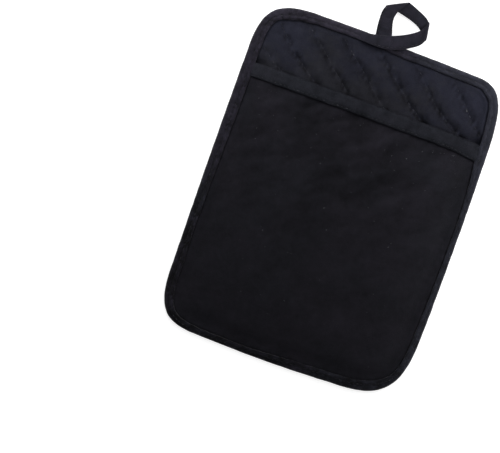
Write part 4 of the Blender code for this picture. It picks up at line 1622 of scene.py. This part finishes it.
@dataclass
class HangingLoop(Assembly):
    """The tape's tail: out along the top edge, folded over twice, and back."""

    origin: tuple[float, ...] = (7.7, 129.1, 0.0)
    thickness: float = 1.3
    gap: float = 0.3
    lower_band: tuple[Crossing, ...] = (
        Crossing(-32.0, -3.9, -32.0, -10.0, 4.15), Crossing(-25.5, -3.6, -25.3, -10.3, 4.5),
        Crossing(-19.0, -2.9, -18.6, -10.7, 5.4), Crossing(-13.0, -1.5, -12.2, -10.8, 5.5),
        Crossing(-6.4, 0.4, -4.8, -9.6, 5.5), Crossing(-2.2, 2.2, 0.7, -7.8, 5.35),
        Crossing(1.9, 4.2, 5.6, -5.7, 4.95), Crossing(5.3, 6.2, 10.1, -2.9, 4.5),
        Crossing(8.6, 8.4, 13.4, -0.6, 4.1), Crossing(11.6, 11.0, 15.8, 1.9, 3.7))
    upper_band: tuple[Crossing, ...] = (
        Crossing(11.6, 22.0, 9.4, 12.9, 1.9), Crossing(5.2, 24.9, 2.3, 15.9, 1.8),
        Crossing(0.6, 26.8, -3.2, 17.4, 1.7))
    left_limb: tuple[Crossing, ...] = (
        Crossing(-6.4, 21.8, -18.9, 17.4, 3.3), Crossing(-8.4, 18.2, -19.4, 14.8, 3.4),
        Crossing(-9.4, 14.4, -19.5, 12.0, 3.5), Crossing(-9.3, 10.2, -19.4, 8.6, 3.6),
        Crossing(-8.3, 6.2, -19.2, 5.2, 3.7), Crossing(-7.1, 2.4, -18.8, 1.6, 3.7),
        Crossing(-6.2, -2.9, -18.3, -2.6, 3.7), Crossing(-6.2, -4.6, -18.3, -4.2, 3.6))
    right_crease: Crossing = Crossing(16.4, 18.4, 18.1, 6.4, 2.75)
    top_crease: Crossing = Crossing(-3.0, 27.9, -17.4, 20.8, 2.45)
    # painted shadows and highlights beside and on the folds, painted shade near the end, and a little painted
    # light after the start
    painted_loop_shading: tuple[Band, ...] = (
        Band(LoopPlace.RIGHT_FOLD, 5.0, 3.0, -0.08), Band(LoopPlace.TOP_FOLD, -3.4, 2.0, -0.24),
        Band(LoopPlace.RIGHT_FOLD, -0.6, 1.6, 0.12), Band(LoopPlace.RIGHT_FOLD, 12.0, 3.5, 0.07),
        Band(LoopPlace.TOP_FOLD, 3.5, 3.0, 0.10), Band(LoopPlace.END, -8.5, 2.5, -0.14),
        Band(LoopPlace.START, 26.0, 4.0, 0.06))
    base_tone: float = 0.47
    start_tilt: float = 0.85        # how far the start's outer edge lies lower, as the edge tape's does
    start_length: float = 24.0
    fold_rows_each: int = 9
    steepest: float = 0.45          # keeps a fold's slanting edges from running off
    flat_power: float = 0.4         # roundness of the section: 1 would be an ellipse, 0 a box
    puff_power: float = 0.28
    rows_built: int = 420
    section_points: int = 30
    cloth_half_width: float = 4.2
    stitch_pitch: float = 2.9
    stitch_size: tuple[float, float] = (0.42, 0.32)
    stitch_sunk: float = 0.06
    stitch_from_edge: float = 1.3
    stitches_from: float = 16.0
    flat: tuple[float, float] = (0.0100, 0.128)     # metres, folded lengthways
    clouds: Clouds = field(default_factory=lambda: Clouds(53))

    def flat_rows(self, table: tuple[Crossing, ...], up: float) -> Array:
        """Rows of left edge, right edge and normal for crossings that lie flat."""
        return np.array([[row.left_x, row.left_y, row.height, row.right_x, row.right_y, row.height,
                          0.0, 0.0, up] for row in table])

    def fold_rows(self, before: Crossing, crease: Crossing, after: Crossing,
                  first: float, last: float) -> Array:
        """Rows round a fold-over.

        The tape's middle goes half round an axis along the crease, one bend
        radius and half a thickness inside it. Its edges keep to their own
        directions up to the crease and away from it, because the fold is slanting.

        Args:
            before: The crossing before the crease.
            crease: The crease's ends, and the height of its middle.
            after: The crossing after it.
            first: The turn before it, in degrees: 0 lies face up.
            last: The turn after it.

        Returns:
            Rows as flat_rows gives them.
        """
        radius = (self.thickness + self.gap) / 2
        run = np.array(crease[:2]) - np.array(crease[2:4])
        outward = np.array([run[1], -run[0]]) / np.linalg.norm(run) * np.sign(last - first)
        angle = np.radians(np.linspace(first, last, self.fold_rows_each))[:, None]
        reach = radius * np.sin(angle) - radius - self.thickness / 2
        is_before = np.arange(self.fold_rows_each)[:, None] < self.fold_rows_each // 2
        edges = []
        for side in (slice(0, 2), slice(2, 4)):
            slides = [np.array(crease[side]) - np.array(other[side]) for other in (before, after)]
            slides = [slide / max(float(slide @ outward), self.steepest * float(np.linalg.norm(slide)))
                      for slide in slides]
            edges.append(np.array(crease[side]) + np.where(is_before, *slides) * reach)
        height = crease.height + radius * np.cos(angle)
        return np.hstack([edges[0], height, edges[1], height, outward * np.sin(angle), np.cos(angle)])

    def rows(self, count: int) -> Array:
        """The whole loop's rows, smoothly joined.

        Args:
            count: How many rows to give.

        Returns:
            Rows as flat_rows gives them.
        """
        control = np.concatenate([
            self.flat_rows(self.lower_band, 1.0),
            self.fold_rows(self.lower_band[-1], self.right_crease, self.upper_band[0], 0, 180),
            self.flat_rows(self.upper_band, -1.0),
            self.fold_rows(self.upper_band[-1], self.top_crease, self.left_limb[0], 180, 0),
            self.flat_rows(self.left_limb, 1.0)])
        tilt = self.start_tilt * (1 - ease((control[:, 0] - control[0, 0]) / self.start_length))
        tilt = tilt * (np.arange(len(control)) < len(self.lower_band))
        control[:, 2] -= tilt
        control[:, 5] += tilt
        rows = smooth_through(control, along((control[:, 0:3] + control[:, 3:6]) / 2), count)
        rows[:, 6:] = unit(rows[:, 6:])
        return rows

    def build(self) -> bpy.types.Object:
        """The loop: a flat rounded section carried through the rows.

        Returns:
            The new object.
        """
        rows = self.rows(self.rows_built)
        left, right, normal = [rows[:, None, first:first + 3] for first in (0, 3, 6)]
        turn = np.arange(self.section_points + 1)[None, :, None] * math.tau / self.section_points
        flatness, puff = [np.sign(wave) * np.abs(wave) ** power for wave, power in (
            (np.cos(turn), self.flat_power), (np.sin(turn), self.puff_power))]
        run = along((rows[:, 0:3] + rows[:, 3:6]) / 2)
        way, over, face = run[:, None], flatness[..., 0], np.sign(puff[..., 0])
        from_right = (1 + over) / 2 * np.linalg.norm(rows[:, 3:6] - rows[:, 0:3], axis=1)[:, None]
        groove = bell((from_right - self.stitch_from_edge) / 0.6) * 0.13
        bumps = (self.clouds.at(way, over * 4 + face * 40, 3.6) * 0.10
                 + self.clouds.at(way, over * 7 + 80, 1.8) * 0.04)
        half = self.thickness / 2 - groove + bumps
        points = (left + right) / 2 + (left - right) / 2 * flatness + normal * puff * half[..., None]
        across = (over[0, ::-1] + 1) * self.cloth_half_width
        uv = np.dstack(np.broadcast_arrays(way, across[None]))
        # painted glints: pale specks here and there on the loop
        painted_glints = np.maximum(self.clouds.at(way, over * 9 + 300, 1.3) - 0.25, 0) * 0.3
        folds = run[np.nonzero(np.diff(np.sign(rows[:, 8])))[0]]
        places = dict(zip(LoopPlace, (0.0, *folds, run[-1])))
        # painted shade and highlights along the tape, placed from its folds and ends
        shade = sum(band.shade * bell((way - places[band.place] - band.beyond) / band.length)
                    for band in self.painted_loop_shading)
        painted_edge_light = np.abs(over) > 0.97
        # painted light on the bumps and along the tape's two edges, painted shade in the stitch groove
        tone = self.base_tone + shade + painted_glints + bumps * 1.2 - groove * 1.5 + 0.25 * painted_edge_light
        loop = self.maker.grid("loop_tape", points[:, ::-1] + np.array(self.origin), uv, tone[:, ::-1])
        self.close_ends(loop)
        return loop

    def close_ends(self, loop: bpy.types.Object) -> None:
        """Merge the section's seam and close the tape's two ends.

        Args:
            loop: The loop's object.
        """
        mesh = bmesh.new()
        mesh.from_mesh(loop.data)
        mesh.verts.ensure_lookup_table()
        last = (self.rows_built - 1) * (self.section_points + 1)
        start, end = [[mesh.verts[first + i] for i in range(self.section_points)] for first in (0, last)]
        mesh.faces.new(start)
        mesh.faces.new(end[::-1])
        bmesh.ops.remove_doubles(mesh, verts=mesh.verts, dist=1e-6)
        bmesh.ops.recalc_face_normals(mesh, faces=mesh.faces)
        mesh.to_mesh(loop.data)
        mesh.free()
        loop.data.shade_smooth()

    def stitches(self) -> bpy.types.Object:
        """The stitches along the tape's open edge, on both of its faces.

        Returns:
            The new object.
        """
        rows = self.rows(4000)
        length = along((rows[:, 0:3] + rows[:, 3:6]) / 2)
        rows = rows_at(np.arange(self.stitches_from, length[-1] - 3.0, self.stitch_pitch), length, rows)
        left, right, normal = rows[:, 0:3], rows[:, 3:6], unit(rows[:, 6:9])
        seam = right + unit(left - right) * self.stitch_from_edge + np.array(self.origin)
        directions = np.gradient(seam, axis=0)
        directions -= normal * (directions * normal).sum(1)[:, None]
        lift = normal * (self.thickness / 2 - self.stitch_sunk)
        return self.maker.threads(
            "loop_stitches", np.concatenate([seam + lift, seam - lift]), np.tile(directions, (2, 1)),
            self.stitch_pitch * 0.72, *self.stitch_size, np.tile(normal, (2, 1)))

    def make(self) -> None:
        """Build and dress the loop and its stitches."""
        loop = dress(self.build(), TAPE_COTTON, Slot.TAPE, "hanging_loop")
        dress(self.stitches(), BLACK_THREAD, Slot.TAPE)


# -------------------------------------------------------------------- the lint
@dataclass
class Lint(Assembly):
    """Pale specks of fluff that dark cotton picks up."""

    pocket: HandPocket
    pad: QuiltedPad
    count: int = 80
    seed: int = 5
    x_range: tuple[float, float] = (-78.0, 82.0)
    highest: float = 62.0
    y_length: float = 170.0
    crowding: float = 2.4           # how much closer the specks lie towards the top
    largest: tuple[float, float] = (71.0, 96.4)
    tuft: int = 5                   # fibres in the largest speck
    tuft_size: float = 0.28
    fibre_size: tuple[float, float] = (0.24, 0.14)      # width and height

    def build(self) -> bpy.types.Object:
        """Short curled fibres, most of them on the upper half of the pocket.

        Returns:
            The new object.
        """
        draw = np.random.default_rng(self.seed)
        x = draw.uniform(*self.x_range, self.count)
        y = self.highest - self.y_length * draw.uniform(0.0, 1.0, self.count) ** self.crowding
        z = self.pocket.middle(x, y) + self.pocket.wrinkles(x, y) + self.pocket.layers.cloth / 2
        spot = np.array([self.largest])
        top = self.pad.surfaces(spot[:, 0], spot[:, 1])[1]
        spot = spot + draw.normal(0.0, self.tuft_size, (self.tuft, 2))
        middles = np.concatenate([np.column_stack([x, y, z + 0.05]),
                                  np.column_stack([spot, np.full(self.tuft, top[0] + 0.2)])])
        turn = draw.uniform(0.0, math.pi, len(middles))
        directions = np.column_stack([np.cos(turn), np.sin(turn), np.zeros(len(turn))])
        lengths = draw.uniform(0.25, 1.0, len(middles))
        lengths[-self.tuft:] += 0.7
        return self.maker.threads("lint", middles, directions, lengths, *self.fibre_size)

    def make(self) -> None:
        """Build and dress the specks."""
        dress(self.build(), PALE_LINT, Slot.POCKET)


# ------------------------------------------------------------------ the stage
@dataclass
class Stage:
    """Pale floor, soft light and the camera straight above."""

    lean: float = 19.6          # degrees that the holder leans to the right
    pixel: float = 0.731        # mm on the holder for one pixel of the photograph
    width_px: float = 500.0
    aim: tuple[float, float] = (-0.0504, -0.0518)       # metres, as are all of the stage's places
    distance: float = 1.7
    sensor: float = 36.0
    bright_side: tuple[float, float, float] = (0.55, 0.8, 0.1)
    sky: tuple[float, float] = (0.12, 1.1)      # brightness on the dim and the bright side
    key_places: tuple[tuple[float, float, float], ...] = ((-0.25, 0.27, 0.16), (0.30, 0.22, 0.15))
    key_size: float = 0.18
    key_power: float = 1.15     # watts
    floor_size: float = 6.0
    floor_height: float = -0.0003

    def place(self, name: str, data: bpy.types.ID, where: tuple[float, ...]) -> bpy.types.Object:
        """A light or camera at a place.

        Args:
            name: Its name.
            data: What it is.
            where: Its place.

        Returns:
            The new object.
        """
        made = bpy.data.objects.new(name, data)
        made.location = where
        bpy.context.scene.collection.objects.link(made)
        return made

    def floor(self) -> None:
        """A wide floor just under the holder."""
        bpy.ops.mesh.primitive_plane_add(size=self.floor_size, location=(0.0, 0.0, 0.0))
        floor = bpy.context.object
        floor.name = "floor"
        for vertex in floor.data.vertices:
            vertex.co.z = self.floor_height
        floor.data.materials.append(PaleFloor().material())

    def lights(self) -> None:
        """A pale sky, brighter on the loop's side, and two soft square lights that look at the holder."""
        world = bpy.data.worlds.new("studio")
        graph = Graph(world)
        toward = graph.node("ShaderNodeVectorMath", {"operation": "DOT_PRODUCT"},
                            {0: graph.place("Generated"), 1: self.bright_side}, "Value")
        low, high = self.sky
        shade = graph.mix(toward.ramp(-0.9, 0.9), (low,) * 3, (high,) * 3)
        sky = graph.node("ShaderNodeBackground", {}, {"Color": shade})
        graph.add("ShaderNodeOutputWorld", {}, {"Surface": sky})
        bpy.context.scene.world = world
        for index, where in enumerate(self.key_places):
            lamp = bpy.data.lights.new(f"key_{index}", "AREA")
            lamp.size = self.key_size
            lamp.energy = self.key_power
            key = self.place(lamp.name, lamp, where)
            key.rotation_euler = (-key.location).to_track_quat("-Z", "Y").to_euler()
        bpy.context.scene.view_settings.view_transform = "Standard"

    def camera(self) -> None:
        """The camera straight above, turned so that the holder leans."""
        camera = bpy.data.cameras.new("camera")
        camera.sensor_width = self.sensor
        camera.lens = self.sensor * self.distance / (self.width_px * self.pixel * MM)
        made = self.place("camera", camera, (*self.aim, self.distance))
        made.rotation_euler = (0.0, 0.0, math.radians(self.lean))
        bpy.context.scene.camera = made

    def build(self) -> None:
        """All of the stage."""
        self.floor()
        self.lights()
        self.camera()


def main() -> None:
    """Set the stage, then build and dress the holder piece by piece."""
    logging.basicConfig(level=logging.INFO, format="%(message)s")
    LOG.info("packed nodes: %d", len(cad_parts))
    Stage().build()
    plan, layers = Plan(), Thickness()
    low, high = [np.array(corner[:2]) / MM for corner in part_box("edge_binding")]
    maker = Maker((low + high) / 2 - (plan.edge.min(0) + plan.edge.max(0)) / 2)
    binding = EdgeBinding(maker, plan, layers)
    pocket = HandPocket(maker, plan, layers, binding)
    pad = QuiltedPad(maker, plan, layers, binding, pocket)
    for assembly in (pad, pocket, binding, HangingLoop(maker), Lint(maker, pocket, pad)):
        assembly.make()


if __name__ == "__main__":
    main()
